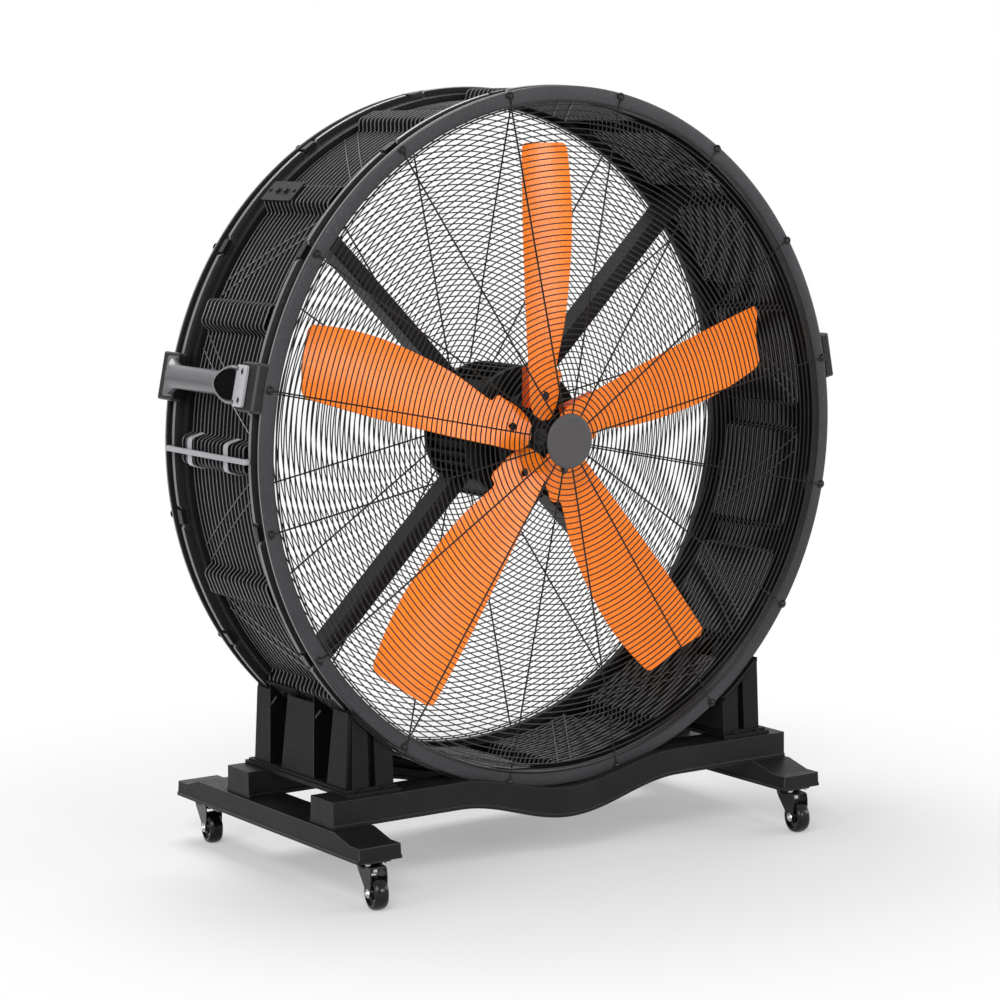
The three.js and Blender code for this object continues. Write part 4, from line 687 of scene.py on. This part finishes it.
def motor_body():
    outline = []
    pad = degrees(atan(PAD_HALF / MOTOR_R))
    corner = hypot(MOTOR_R, PAD_HALF)
    spare = (90 - 2 * pad) / FINS
    for middle in ARM_ANGLES:
        outline += [polar(CORE_R, middle - pad), polar(corner, middle - pad),
                    polar(corner, middle + pad), polar(CORE_R, middle + pad)]
        for i in range(FINS):
            start = middle + pad + spare * i
            outline += [polar(CORE_R, start + spare * 0.32), polar(MOTOR_R, start + spare * 0.38),
                        polar(MOTOR_R, start + spare * 0.62), polar(CORE_R, start + spare * 0.68)]
    flat = [(p[0], p[2]) for p in outline]
    return soften(prism(flat, MOTOR_FRONT, MOTOR_REAR), 1.0, 1, 24)


def make_motor():
    """The motor's outside; what is inside it keeps its solids and gets a finish."""
    piece("motor_body", motor_body(), MOTOR, ["motor_housing"])
    rib = soften(block((52, -67.5, -3), (134, -59, 3)), 1.2, 2)
    bolt = moved(hex_bolt(6, 5), 150, -58.4)
    front = [spindle(FRONT_COVER, 96), *round_about(rib, 8), *round_about(bolt, 4)]
    piece("motor_front_cover", front, MOTOR, ["motor_front_shield"])
    bar = soften(block((60, 131, -2.5), (140, 135, 2.5)), 1.0, 1)
    rear = [spindle(REAR_COVER, 96), *round_about(bar, 24)]
    piece("motor_rear_cover", rear, MOTOR, ["motor_rear_shield"])
    for node, material in (("motor_stator", COPPER), ("front_bearing", STEEL), ("rear_bearing", STEEL),
                           ("motor_rotor", STEEL)):
        materials = frame["nodes"][node].data.materials
        materials.clear()
        materials.append(material)


def arm_shape():
    """A channel from the motor to the wall, with an end plate at each end and bolts at the motor."""
    line = rounded([(106, -17.4), (45.6, -17.4), (45.6, 17.4), (106, 17.4)], 6, 4)
    web = prism(sheet_profile(line, 3.2), ARM_START, CLAMP_LOW - 0.2, "x")
    caps = [block((x, 46, -17), (x + 4, 106, 17)) for x in (ARM_START, CLAMP_LOW - 4.2)]
    shapes = [soften(web, 0.8, 2, 40)] + [soften(cap, 0.8, 1) for cap in caps]
    for y in ARM_BOLTS_Y:
        shapes.append(moved(rotated(hex_bolt(7, 5), -90, "Z"), ARM_START + 4, y, 0))
    return joined(shapes)


def end_plate_shape():
    outline = round_loop(rectangle(12, -29, 140, 29), 8, 4)
    slots = [circle(5.2, 16, (y, 0)) for y in (26, 126)]
    shapes = [soften(prism(outline, CLAMP_LOW, CLAMP_HIGH, "x", slots), 0.7, 1, 40)]
    for y in ARM_BOLTS_Y:
        shapes.append(moved(rotated(hex_bolt(7, 5), 90, "Z"), CLAMP_HIGH, y, 0))
    return joined(shapes)


def make_arms():
    arm, plate = arm_shape(), end_plate_shape()
    for i, angle in enumerate(ARM_ANGLES, 1):
        piece(f"motor_arm_channel_{i}", turned(arm, angle), ARM, [f"motor_arm_{i}"],
              highlight_finish=EDGE_HIGHLIGHT)
        piece(f"arm_clamp_plate_{i}", turned(plate, angle), ARM, [f"arm_end_plate_{i}"])


# ---------- Impeller ----------

FRONT_EDGE = [(40, 14), (46, 27), (54, 35), (64, 41), (78, 47), (96, 50), (123, 52), (152, 54), (176, 56),
              (248, 62), (376, 70), (464, 75), (592, 79), (650, 80), (675, 80)]
REAR_EDGE = [(40, -14), (46, -26), (54, -33), (64, -39), (78, -46), (96, -51), (123, -56), (149, -57),
             (155, -47), (176, -48), (210, -58), (248, -70), (310, -83), (376, -92), (464, -99),
             (530, -98), (592, -92), (650, -82), (675, -77)]
BLADE_Y, BLADE_SHEET = -134, 3.6
TIP_R, TIP_CORNER = 672.0, 17.0
BOW, BOW_START, BOW_RUN = 9, 160, 320  # the bend across the blade grows along this run
STATIONS = [40, 41.5, 44, 48, 54, 62, 72, 84, 96, 110, 123, 136, 148.5, 150.5, 154, 158, 168, 180, 195,
            212, *np.arange(230, 650, 20), 654,
            *(TIP_R - TIP_CORNER * (1 - sin(a)) for a in np.radians(np.arange(0, 91, 15)))]
HUB_PLATE = [(0, -112), (34, -112), (110, -112), (112, -110.6), (112, -99.4), (110.6, -98), (38, -98),
             (34, -94), (34, -78), (32.6, -76), (0, -76)]
SHAFT_END = [(0, -123.4), (10.6, -123.4), (11, -123), (11, -117.4), (19.4, -117.4), (20, -116.8),
             (20, -114.3), (0, -114.3)]


def eased(table, radius):
    """A smooth curve through a table of (radius, value)."""
    x, y = np.array(table, float).T
    slope = np.gradient(y, x)
    i = int(np.clip(np.searchsorted(x, radius) - 1, 0, len(x) - 2))
    step = x[i + 1] - x[i]
    t = (radius - x[i]) / step
    return ((2 * t ** 3 - 3 * t ** 2 + 1) * y[i] + (t ** 3 - 2 * t ** 2 + t) * step * slope[i]
            + (3 * t ** 2 - 2 * t ** 3) * y[i + 1] + (t ** 3 - t ** 2) * step * slope[i + 1])


def blade_plane(side):
    return BLADE_Y - tan(PITCH) * side


def blade_front(radius, side, low, high):
    middle = np.clip((radius - BOW_START) / BOW_RUN, 0, 1)
    share = (side - (low + high) / 2) / max((high - low) / 2, 1)
    return blade_plane(side) + BOW * middle * (3 - 2 * middle) * middle * max(0, 1 - share ** 2)


def blade_shape():
    rows = []
    for radius in STATIONS:
        low, high = eased(REAR_EDGE, radius), eased(FRONT_EDGE, radius)
        past = max(0.0, radius - (TIP_R - TIP_CORNER)) / TIP_CORNER
        inset = TIP_CORNER * (1 - sqrt(max(0, 1 - min(1, past) ** 2)))
        low, high = low + inset, high - inset
        sides = (low + high) / 2 + (high - low) / 2 * np.linspace(-1, 1, 15)
        front = [(radius, blade_front(radius, s, low, high), s) for s in sides]
        back = [(x, y + BLADE_SHEET, z) for x, y, z in front[::-1]]
        (_, y0, z0), (_, y1, z1) = front[0], front[-1]
        half, bulge = BLADE_SHEET / 2, BLADE_SHEET * 0.42
        rows.append([*front, (radius, y1 + half, z1 + bulge), *back, (radius, y0 + half, z0 - bulge)])
    return loft(rows)


def root_shape():
    """The folded root: a sheet box from the blade's back down to the hub plate."""
    outline = [(-112.4, -38), (-112.4, 50), (blade_plane(50) + 3.4, 50), (blade_plane(-38) + 3.4, -38)]
    inside = [(-116.2, -34.2), (-116.2, 46.2), (blade_plane(46.2) + 7, 46.2),
              (blade_plane(-34.2) + 7, -34.2)]
    box = prism(round_loop(outline, 5, 3), 72, 165, "x", [round_loop(inside, 3, 3)])
    return soften(box, 0.6, 1, 50)


def blade_bolts():
    outer = moved(rotated(hex_bolt(8, 6), -degrees(PITCH), "X"), 96, BLADE_Y, 0)
    inner = moved(hex_bolt(6.5, 4), 96, -116.4, 28)
    return joined([outer, inner])


def make_impeller():
    blade, root, bolts = blade_shape(), root_shape(), blade_bolts()
    for i, angle in enumerate(BLADE_ANGLES, 1):
        name = f"blade_{i}"
        piece(f"{name}_skin", turned(blade, angle), BLADE, [name], "impeller")
        # The folded roots take the painted shade orange.
        piece(f"{name}_folded_root", turned(root, angle), SHADED_ORANGE, (), "impeller")
        piece(f"{name}_bolts", turned(bolts, angle), BOLT, (), "impeller")
    piece("hub_plate_disc", spindle(HUB_PLATE, 96), HUB, ["hub_plate"], "impeller")
    screw = [spindle(SHAFT_END, 48), hex_bolt(9, 7, 0, -123.2)]
    piece("shaft_end_screw", screw, DARK_STEEL, ["hub_centre_screw"], "impeller")


# ---------- Handles and tie bar ----------

HANDLE_AXIS, HANDLE_R, BORE_R, BORE_SHADE_R = 844, 26.0, 22.8, 22.4
HANDLE_END, HANDLE_SLANT = 140, 36  # half the length, and how much less at the top
FLARE_START, FLARE_RUN, FLARE_WIDTH, FLARE_DROP = 92, 46, 0.64, 5.5
PLATE_LOW, PLATE_HIGH = 824.3, 831.3
HANDLE_SCREWS = (157, 31)  # y and z, either side of the middle


def handle_end(x):
    top = HANDLE_AXIS + HANDLE_R
    return HANDLE_END - HANDLE_SLANT * float(np.clip((x - PLATE_HIGH) / (top - PLATE_HIGH), 0, 1))


def handle_flare(y):
    share = float(np.clip((abs(y) - FLARE_START) / FLARE_RUN, 0, 1))
    return share * share * (3 - 2 * share)


def handle_shell(radius, length=1.0):
    """The tube's surface, spread toward its flattened, slantwise cut ends."""
    rows = []
    for share in np.linspace(-length, length, 41):
        row = []
        for angle in even_turns(64):
            x, sine = HANDLE_AXIS + radius * cos(angle), sin(angle)
            y = share * handle_end(x)
            flare = handle_flare(y)
            below = max(0, -cos(angle))
            power = 1 - 0.6 * flare * min(1, 2 * below)
            across = copysign(abs(sine) ** power, sine)
            row.append((x + flare * FLARE_DROP * below, y, radius * across * (1 + FLARE_WIDTH * flare)))
        rows.append(row)
    return rows


def handle_plate():
    """The slotted plate under the tube's rear end."""
    y, z = HANDLE_SCREWS
    outline = round_loop(rectangle(133, -45, 173, 45), 7, 4)
    slots = [circle(4.6, 20, (y, side), 1.7) for side in (-z, z)]
    return soften(prism(outline, PLATE_LOW, PLATE_HIGH, "x", slots), 1.4, 2, 40)


def bracket_shape():
    body = soften(block((778, 144, -54), (824, 208, 54)), 5, 3)
    seat = lathe(rectangle(700, 120, 802.7, 230), 288)
    return carve(body, seat)


def handle_screws():
    y, z = HANDLE_SCREWS
    bolt = rotated(hex_bolt(4.4, 3.0, 0), 90, "Z")
    return joined([moved(bolt, PLATE_HIGH - 2, end * y, side * z) for end in (-1, 1) for side in (-1, 1)])


def make_handles():
    grip = lattice(np.array([*handle_shell(HANDLE_R), *handle_shell(BORE_R)[::-1]]), True, True)
    plate, bracket = handle_plate(), bracket_shape()
    parts = (("handle_tube", grip, HANDLE, "handle_grey", "handle"),
             # The front plate takes the painted highlight grey.
             ("handle_front_plate", flipped(plate, 1), LIT_HANDLE_GREY, "handle_grey"),
             ("handle_rear_plate", plate, HANDLE, "handle_grey"),
             # Painted shade: a near-black sleeve just inside the bore, for the shade inside the tube.
             ("handle_bore", loft(handle_shell(BORE_SHADE_R, 0.93)), SHADE_BLACK, "bracket_black"),
             ("handle_screws", handle_screws(), BOLT, "bracket_black"))
    blocks = (("handle_rear_block", bracket, BRACKET, "bracket_black", "handle_rear_bracket"),
              ("handle_front_block", flipped(bracket, 1), BRACKET, "bracket_black",
               "handle_front_bracket"))
    for side, angle in (("left", 168.75), ("right", 11.25)):
        side_pieces(side, parts, lambda shape: turned(shape, angle))
        side_pieces(side, blocks, lambda shape: turned(shape, angle), EDGE_HIGHLIGHT)


def make_tie_bar():
    low, high, foot = STRAP_R + 1.2, STRAP_R + 8.2, 802.8
    outline = [(low, -164), (low, 164), (foot, 164), (foot, 174), (high, 174), (high, -174), (foot, -174),
               (foot, -164)]
    bar = soften(prism(outline, -6, 6, "z"), 1.6, 2)
    piece("side_tie_bar", turned(bar, 180), BAR, ["tie_rod"])
    line = rounded([(WALL_R + 5, -39), (STRAP_R, -30), (STRAP_R, 30), (WALL_R + 5, 39)], 10, 4)
    for name, y in (("front", -79), ("rear", 79)):
        clip = soften(prism(sheet_profile(line, 2.0), y - 9, y + 9), 0.5, 1, 40)
        piece(f"tie_bar_{name}_saddle", turned(clip, 180), BAR, [f"tie_rod_{name}_clip"])


# ---------- Base ----------

BASE_Y, BEAM_Y = -12, 182.5  # the base's middle, and the beams either side of it
BEAM_LOW, BEAM_HIGH = FLOOR + 157.7, FLOOR + 218.7
BEAM_HALF, DIP_HALF = 50.5, 312
FOOT_LOW, FOOT_X = FLOOR + 106, 598
FOOT_HEIGHTS = [(-359, 34.6), (-356, 34.6), (-319, 34.6), (-254, 51.4), (345, 51.4), (397, 34.6),
                (439, 34.6), (442, 34.6)]
FLANGE_TOP = BEAM_HIGH + 9.3
PLINTH_TOP = FLANGE_TOP + 6.5
SADDLE_HIGH, SADDLE_SEAT_R = -420, 811


def dip(x):
    return 0.5 * (1 + cos(pi * min(1, abs(x) / DIP_HALF)))


def nest(radius, reach, segments):
    """The part of the drum's round that is cut out of the base."""
    return lathe(rectangle(300, -reach, radius, reach), segments)


def beam_shape(middle):
    """A cross beam that dips under the drum, with a lip along its foot."""
    front, back = middle - BEAM_HALF, middle + BEAM_HALF
    reach = [360, 420, 480, 540, 600, 644]
    rows = []
    for x in [*(-x for x in reversed(reach)), *np.linspace(-DIP_HALF, DIP_HALF, 49), *reach]:
        low, high = BEAM_LOW - 58 * dip(x), BEAM_HIGH - 50 * dip(x)
        rows.append([(x, front, low), (x, front, low + 8), (x, front + 3, low + 10), (x, front + 4, high),
                     (x, back - 4, high), (x, back - 3, low + 10), (x, back, low + 8), (x, back, low)])
    return soften(carve(loft(rows), nest(806.4, 216, 240), nest(824.6, 149, 240)), 2.2, 2, 34)


def foot_shape():
    """A foot beam with sloped ends, hollow from below."""
    rows = []
    for y, height in FOOT_HEIGHTS:
        top, low = FOOT_LOW + height, FOOT_LOW
        rows.append([(-57, y, low), (57, y, low), (57, y, low + 7), (54.5, y, low + 9), (53, y, top),
                     (-53, y, top), (-54.5, y, low + 9), (-57, y, low + 7)])
    mouth = block((-54, -241, FOOT_LOW - 5), (54, 324, FOOT_LOW + 7))
    inner = block((-50, -241, FOOT_LOW), (50, 324, FOOT_LOW + 46))
    return soften(carve(loft(rows), mouth, inner), 2.4, 2, 20)


def saddle_body():
    """The saddle's tapered block on its two-step flange, before it is cut."""
    foot, head = rectangle(472, -219, 592, 195), rectangle(472, -199, 576, 175)
    body = loft([[(x, y, FLANGE_TOP - 2) for x, y in foot], [(x, y, SADDLE_HIGH) for x, y in head]])
    flange = block((462, -234, BEAM_HIGH + 0.3), (602, 210, FLANGE_TOP))
    plinth = block((467, -225, FLANGE_TOP - 1), (597, 201, FLANGE_TOP + 6))
    return body, carve(body, flange, plinth, operation="UNION")


def saddle_recess(low, high):
    """A recess in the outer face between two y values, and a thin sheet of painted shade at its back."""
    drop = sqrt(SADDLE_SEAT_R ** 2 - 556 ** 2)
    front, back = [], []
    for x, z, in_front, behind in ((508, PLINTH_TOP, 10, -10), (640, PLINTH_TOP, 2, -2),
                                   (640, -drop + 90, -22, 12), (508, -drop + 40, -6, 2)):
        front.append((x, low + in_front, z))
        back.append((x, high + behind, z))
    shade_sheet = loft([[(x, y - 1, z) for x, y, z in back], [(x, y - 0.1, z) for x, y, z in back]])
    return loft([front, back]), shade_sheet


def saddle_grooves():
    """Upright grooves in the front and rear faces."""
    shapes = []
    for bottom, top, ends in (((518, 537), (534, 520), ((-240, -199), (175, 230))),
                              ((579, 620), (620, 566), ((-240, -207), (183, 230)))):
        outline = [*((x, PLINTH_TOP) for x in bottom), *((x, SADDLE_HIGH + 20) for x in top)]
        shapes += [prism(outline, low, high) for low, high in ends]
    return shapes


def saddle_shape():
    body, shape = saddle_body()
    recesses, shade_sheets = zip(saddle_recess(-136, -70), saddle_recess(59, 121))
    shape = carve(shape, *recesses, *saddle_grooves(), nest(811.3, 260, 288))
    return soften(shape, 2.2, 2, 30), [carve(shade_sheet, body, operation="INTERSECT") for shade_sheet in shade_sheets]


def saddle_gussets():
    """Slant ribs at the tops of the outer recesses, and bolts in the flange."""
    shapes = []
    drop = sqrt(SADDLE_SEAT_R ** 2 - 572 ** 2)
    for middle in (-62, 129):
        shapes.append(sweep([(583, middle, -drop - 30), (574, middle - 18, -drop - 4)], 2.4, 8))
    for x in (499, 565):
        for y in (-226.5, 202.5):
            shapes.append(moved(rotated(hex_bolt(6.5, 5, 1.4), -90, "X"), x, y, FLANGE_TOP))
    return joined(shapes)


def pad_shape():
    """The rubber strips between the saddle and the drum's two rings."""
    shapes = []
    for low, high in ((-219, -150), (150, 195)):
        ring = lathe(rectangle(802.9, low, 810.9, high), 288)
        keep = block((474, low - 5, -700), (575, high + 5, -500))
        shapes.append(soften(carve(ring, keep, operation="INTERSECT"), 0.8, 1, 40))
    return joined(shapes)


def make_base():
    for name, y in (("front", BASE_Y - BEAM_Y), ("rear", BASE_Y + BEAM_Y)):
        piece(f"{name}_base_beam", beam_shape(y), BASE, [f"{name}_cross_beam"], highlight_finish=EDGE_HIGHLIGHT)
    foot, (saddle, hollow_shades) = foot_shape(), saddle_shape()
    parts = (("saddle_block", saddle, SADDLE, "saddle_black", "saddle"),
             ("saddle_ribs", saddle_gussets(), SADDLE, "saddle_black"),
             # Painted shade: near-black sheets at the backs of the recesses, where shade falls.
             ("saddle_hollows", joined(hollow_shades), SHADE_BLACK, "saddle_black"),
             ("saddle_strips", pad_shape(), RUBBER, "pad_rubber", "saddle_pad"))
    for side, sign in (("left", -1), ("right", 1)):
        piece(f"{side}_foot", moved(foot, FOOT_X * sign), BASE, [f"{side}_foot_beam"],
              highlight_finish=EDGE_HIGHLIGHT)
        side_pieces(side, parts, lambda shape: shape if sign > 0 else flipped(shape, 0), EDGE_HIGHLIGHT)


# ---------- Casters ----------

TRAIL, TURN = 34, -9.7  # mm behind the swivel's axis; degrees at rest
AXLE_Z, CROWN = 37.5, 95.7  # above the floor
MOUNT_X, MOUNT_Y = 24, 29  # the top plate's bolts
TREAD = [(5.2, -16), (13, -16), (14, -15), (15, -10), (24, -9.6), (26, -11), (27, -15.2), (28.4, -16),
         (31, -16), (33.6, -14.9), (35.6, -12), (36.8, -8), (37.4, -3.6)]
FORK_SIDE = [(29, CROWN), (-TRAIL - 11, CROWN), (-TRAIL - 16, CROWN - 20), (-TRAIL - 14, 48),
             (-TRAIL - 9, 31), (-TRAIL, 26), (-TRAIL + 9, 30), (-TRAIL + 22, 47), (18, 74), (29, CROWN - 9)]
CUP = [(0, CROWN), (20, CROWN), (26, CROWN - 1.5), (27.5, CROWN - 4), (27, CROWN - 7), (22, CROWN - 8),
       (0, CROWN - 8)]
RIVET = [(0, 78), (8, 78.4), (11, 80), (12, 84), (12, 91), (0, 91)]
BALL_RACE = [(0, 96), (20, 96), (22, 97), (23.5, 99), (23.5, 101), (26, 103.2), (0, 103.2)]


def upright(shape):
    return rotated(shape, 90, "X")


def on_axle(shape):
    return moved(shape, 0, -TRAIL, AXLE_Z)


def caster_wheel():
    profile = [*TREAD, *[(radius, -y) for radius, y in reversed(TREAD)]]
    return on_axle(rotated(lathe(profile, 64), -90, "Z"))


def caster_fork():
    outline = round_loop(FORK_SIDE, 7, 4)
    legs = [soften(prism(outline, low, low + 3, "x"), 0.9, 2, 40) for low in (-20, 17.2)]
    bridge = soften(block((-20, -TRAIL - 11, CROWN - 5), (20.2, 29, CROWN)), 2.4, 2)
    return joined([*legs, bridge, upright(spindle(CUP, 40))])


def caster_axle():
    """The axle with its nuts and end caps, and the rivet on which the fork swivels."""
    shapes = [rotated(spindle(rectangle(0, -19, 4.6, 19), 24), 90, "Z")]
    for sign in (-1, 1):
        nut = rotated(hex_bolt(7.6, 4.4, 1.2), 90 * sign, "Z")
        cap = rotated(spindle([(0, -2.2), (3.4, -2), (4.4, 0), (4.4, 1), (0, 1)], 20), 90 * sign, "Z")
        shapes += [moved(nut, sign * 20.2), moved(cap, sign * 24.2)]
    rivet = moved(upright(spindle(RIVET, 24)), 0, -22)
    return joined([*(on_axle(shape) for shape in shapes), rivet])


def caster_mount():
    """Top plate, ball race and bolts; it stays with the foot."""
    spots = [(x, y) for x in (-MOUNT_X, MOUNT_X) for y in (-MOUNT_Y, MOUNT_Y)]
    outline = round_loop(rectangle(-32, -38, 32, 38), 6, 4)
    holes = [circle(4.4, 16, spot, 1.3) for spot in spots]
    plate = soften(prism(outline, 103, 106, "z", holes), 0.6, 1, 40)
    race = upright(spindle(BALL_RACE, 48))
    bolts = [moved(upright(hex_bolt(6, 4.5, 1.2)), x, y, 103) for x, y in spots]
    return joined([plate, race]), joined(bolts)


def at_caster(name, shape, turn):
    """Puts a shape made over the floor round a swivel's axis where that swivel is."""
    x, y, _ = (np.array(JOINTS[f"{name}_swivel"]["pos_m"]) - CENTRE) * 1000
    return moved(rotated(shape, turn, "Z"), x, y, FLOOR)


def make_casters():
    plate, bolts = caster_mount()
    moving = (("wheel", caster_wheel(), WHEEL, "wheel_black", "wheel"),
              ("fork", caster_fork(), FORK, "fork_black", "caster"),
              ("axle", caster_axle(), ZINC, "zinc_plated", "caster"))
    still = (("plate", plate, FORK, "fork_black"), ("bolts", bolts, ZINC, "zinc_plated"))
    for i, name in enumerate(("front_left", "front_right", "rear_left", "rear_right"), 1):
        for part, shape, material, slot, body in moving:
            piece(f"{name}_caster_{part}", at_caster(name, shape, TURN), material,
                  [f"caster_{part}_{i}"], f"{name}_{body}")
        for part, shape, material, slot in still:
            piece(f"{name}_caster_{part}", at_caster(name, shape, 0), material)


# ---------- Studio, in metres ----------

FLOOR_HALF = 40.0
FLOOR_COLOUR = (0.86, 0.86, 0.87, 1)
SEEN_GLOW, SEEN_TONE = 0.35, 0.36  # what the camera sees of the floor near the fan
FADE_START, FADE_END = 0.8, 1.9  # from there it fades to white
WHITE, WORLD_STRENGTH = (1, 1, 1, 1), 0.4
LAMP_TARGET = (0, 0, 0.9)
LAMPS = (("key", (-4.2, -4.4, 4.4), 2.2, 290), ("left", (-6.0, -1.6, 2.4), 2.0, 120),
         ("front", (0.7, -6.4, 2.7), 1.3, 110), ("right", (5.2, -2.2, 1.9), 1.6, 70),
         ("high right", (3.9, -4.2, 3.1), 1.4, 70), ("top", (0, 1.5, 5.2), 3.0, 240))
CAMERA_PLACE = (-3.8136, -5.3985, 1.6596)
CAMERA_AIM = (0.5710, 0.8109, -0.1281)
SENSOR_MM, LENS_MM, CLIP_END = 36, 102.09, 200


def floor_material():
    """Pale matt for all light; the camera sees it shaded near the fan and white far away."""
    material = bpy.data.materials.new("floor white")
    material.use_nodes = True
    tree = material.node_tree
    shader = tree.nodes["Principled BSDF"]
    set_inputs(tree, shader, {"Base Color": FLOOR_COLOUR, "Roughness": 0.6, "Specular IOR Level": 0.1})
    seen = add_node(tree, "BsdfDiffuse", {"Color": (SEEN_TONE, SEEN_TONE, SEEN_TONE, 1)})
    glow = add_node(tree, "Emission", {"Strength": SEEN_GLOW})
    near = add_node(tree, "AddShader", {0: seen, 1: glow})
    white = add_node(tree, "Emission", {"Strength": 1.0})
    place = add_node(tree, "TexCoord", {}, "Object")
    distance = add_node(tree, "VectorMath", {0: place}, "Value", operation="LENGTH")
    fade = add_node(tree, "MapRange", {"Value": distance, "From Min": FADE_START, "From Max": FADE_END},
                    "Result", interpolation_type="SMOOTHSTEP")
    shown = add_node(tree, "MixShader", {0: fade, 1: near, 2: white})
    camera = add_node(tree, "LightPath", {}, "Is Camera Ray")
    result = add_node(tree, "MixShader", {0: camera, 1: shader.outputs[0], 2: shown})
    set_inputs(tree, tree.nodes["Material Output"], {"Surface": result})
    return material


def make_floor():
    mesh = bpy.data.meshes.new("floor")
    corners = [(x, y, 0) for x, y in rectangle(-FLOOR_HALF, -FLOOR_HALF, FLOOR_HALF, FLOOR_HALF)]
    mesh.from_pydata(corners, [], [(0, 1, 2, 3)])
    mesh.materials.append(floor_material())
    ob = add_object("floor", mesh)


def make_world():
    """Soft light all round; the camera, gloss and glass see it as white."""
    world = bpy.data.worlds.new("studio")
    bpy.context.scene.world = world
    world.use_nodes = True
    tree = world.node_tree
    soft = tree.nodes["Background"]
    set_inputs(tree, soft, {"Color": WHITE, "Strength": WORLD_STRENGTH})
    white = add_node(tree, "Background", {"Color": WHITE, "Strength": 1.0})
    rays = tree.nodes.new("ShaderNodeLightPath").outputs
    share = rays["Is Camera Ray"]
    for kind in ("Is Glossy Ray", "Is Transmission Ray"):
        share = add_node(tree, "Math", {0: share, 1: rays[kind]}, operation="MAXIMUM")
    result = add_node(tree, "MixShader", {0: share, 1: soft.outputs[0], 2: white})
    set_inputs(tree, tree.nodes["World Output"], {"Surface": result})


def make_lights():
    for name, place, size, power in LAMPS:
        lamp = bpy.data.lights.new(name, "AREA")
        lamp.size = size
        lamp.energy = power
        ob = add_object(name, lamp)
        ob.location = place
        ob.rotation_euler = (Vector(LAMP_TARGET) - Vector(place)).to_track_quat("-Z", "Y").to_euler()


def make_camera():
    data = bpy.data.cameras.new("camera")
    data.sensor_width = SENSOR_MM
    data.lens = LENS_MM
    data.clip_end = CLIP_END
    ob = add_object("camera", data)
    ob.location = CAMERA_PLACE
    ob.rotation_euler = Vector(CAMERA_AIM).to_track_quat("-Z", "Y").to_euler()
    bpy.context.scene.camera = ob


make_camera()
make_drum()
make_motor()
make_arms()
make_impeller()
make_handles()
make_tie_bar()
make_base()
make_casters()
make_floor()
make_world()
make_lights()
bpy.context.scene.view_settings.view_transform = "Standard"
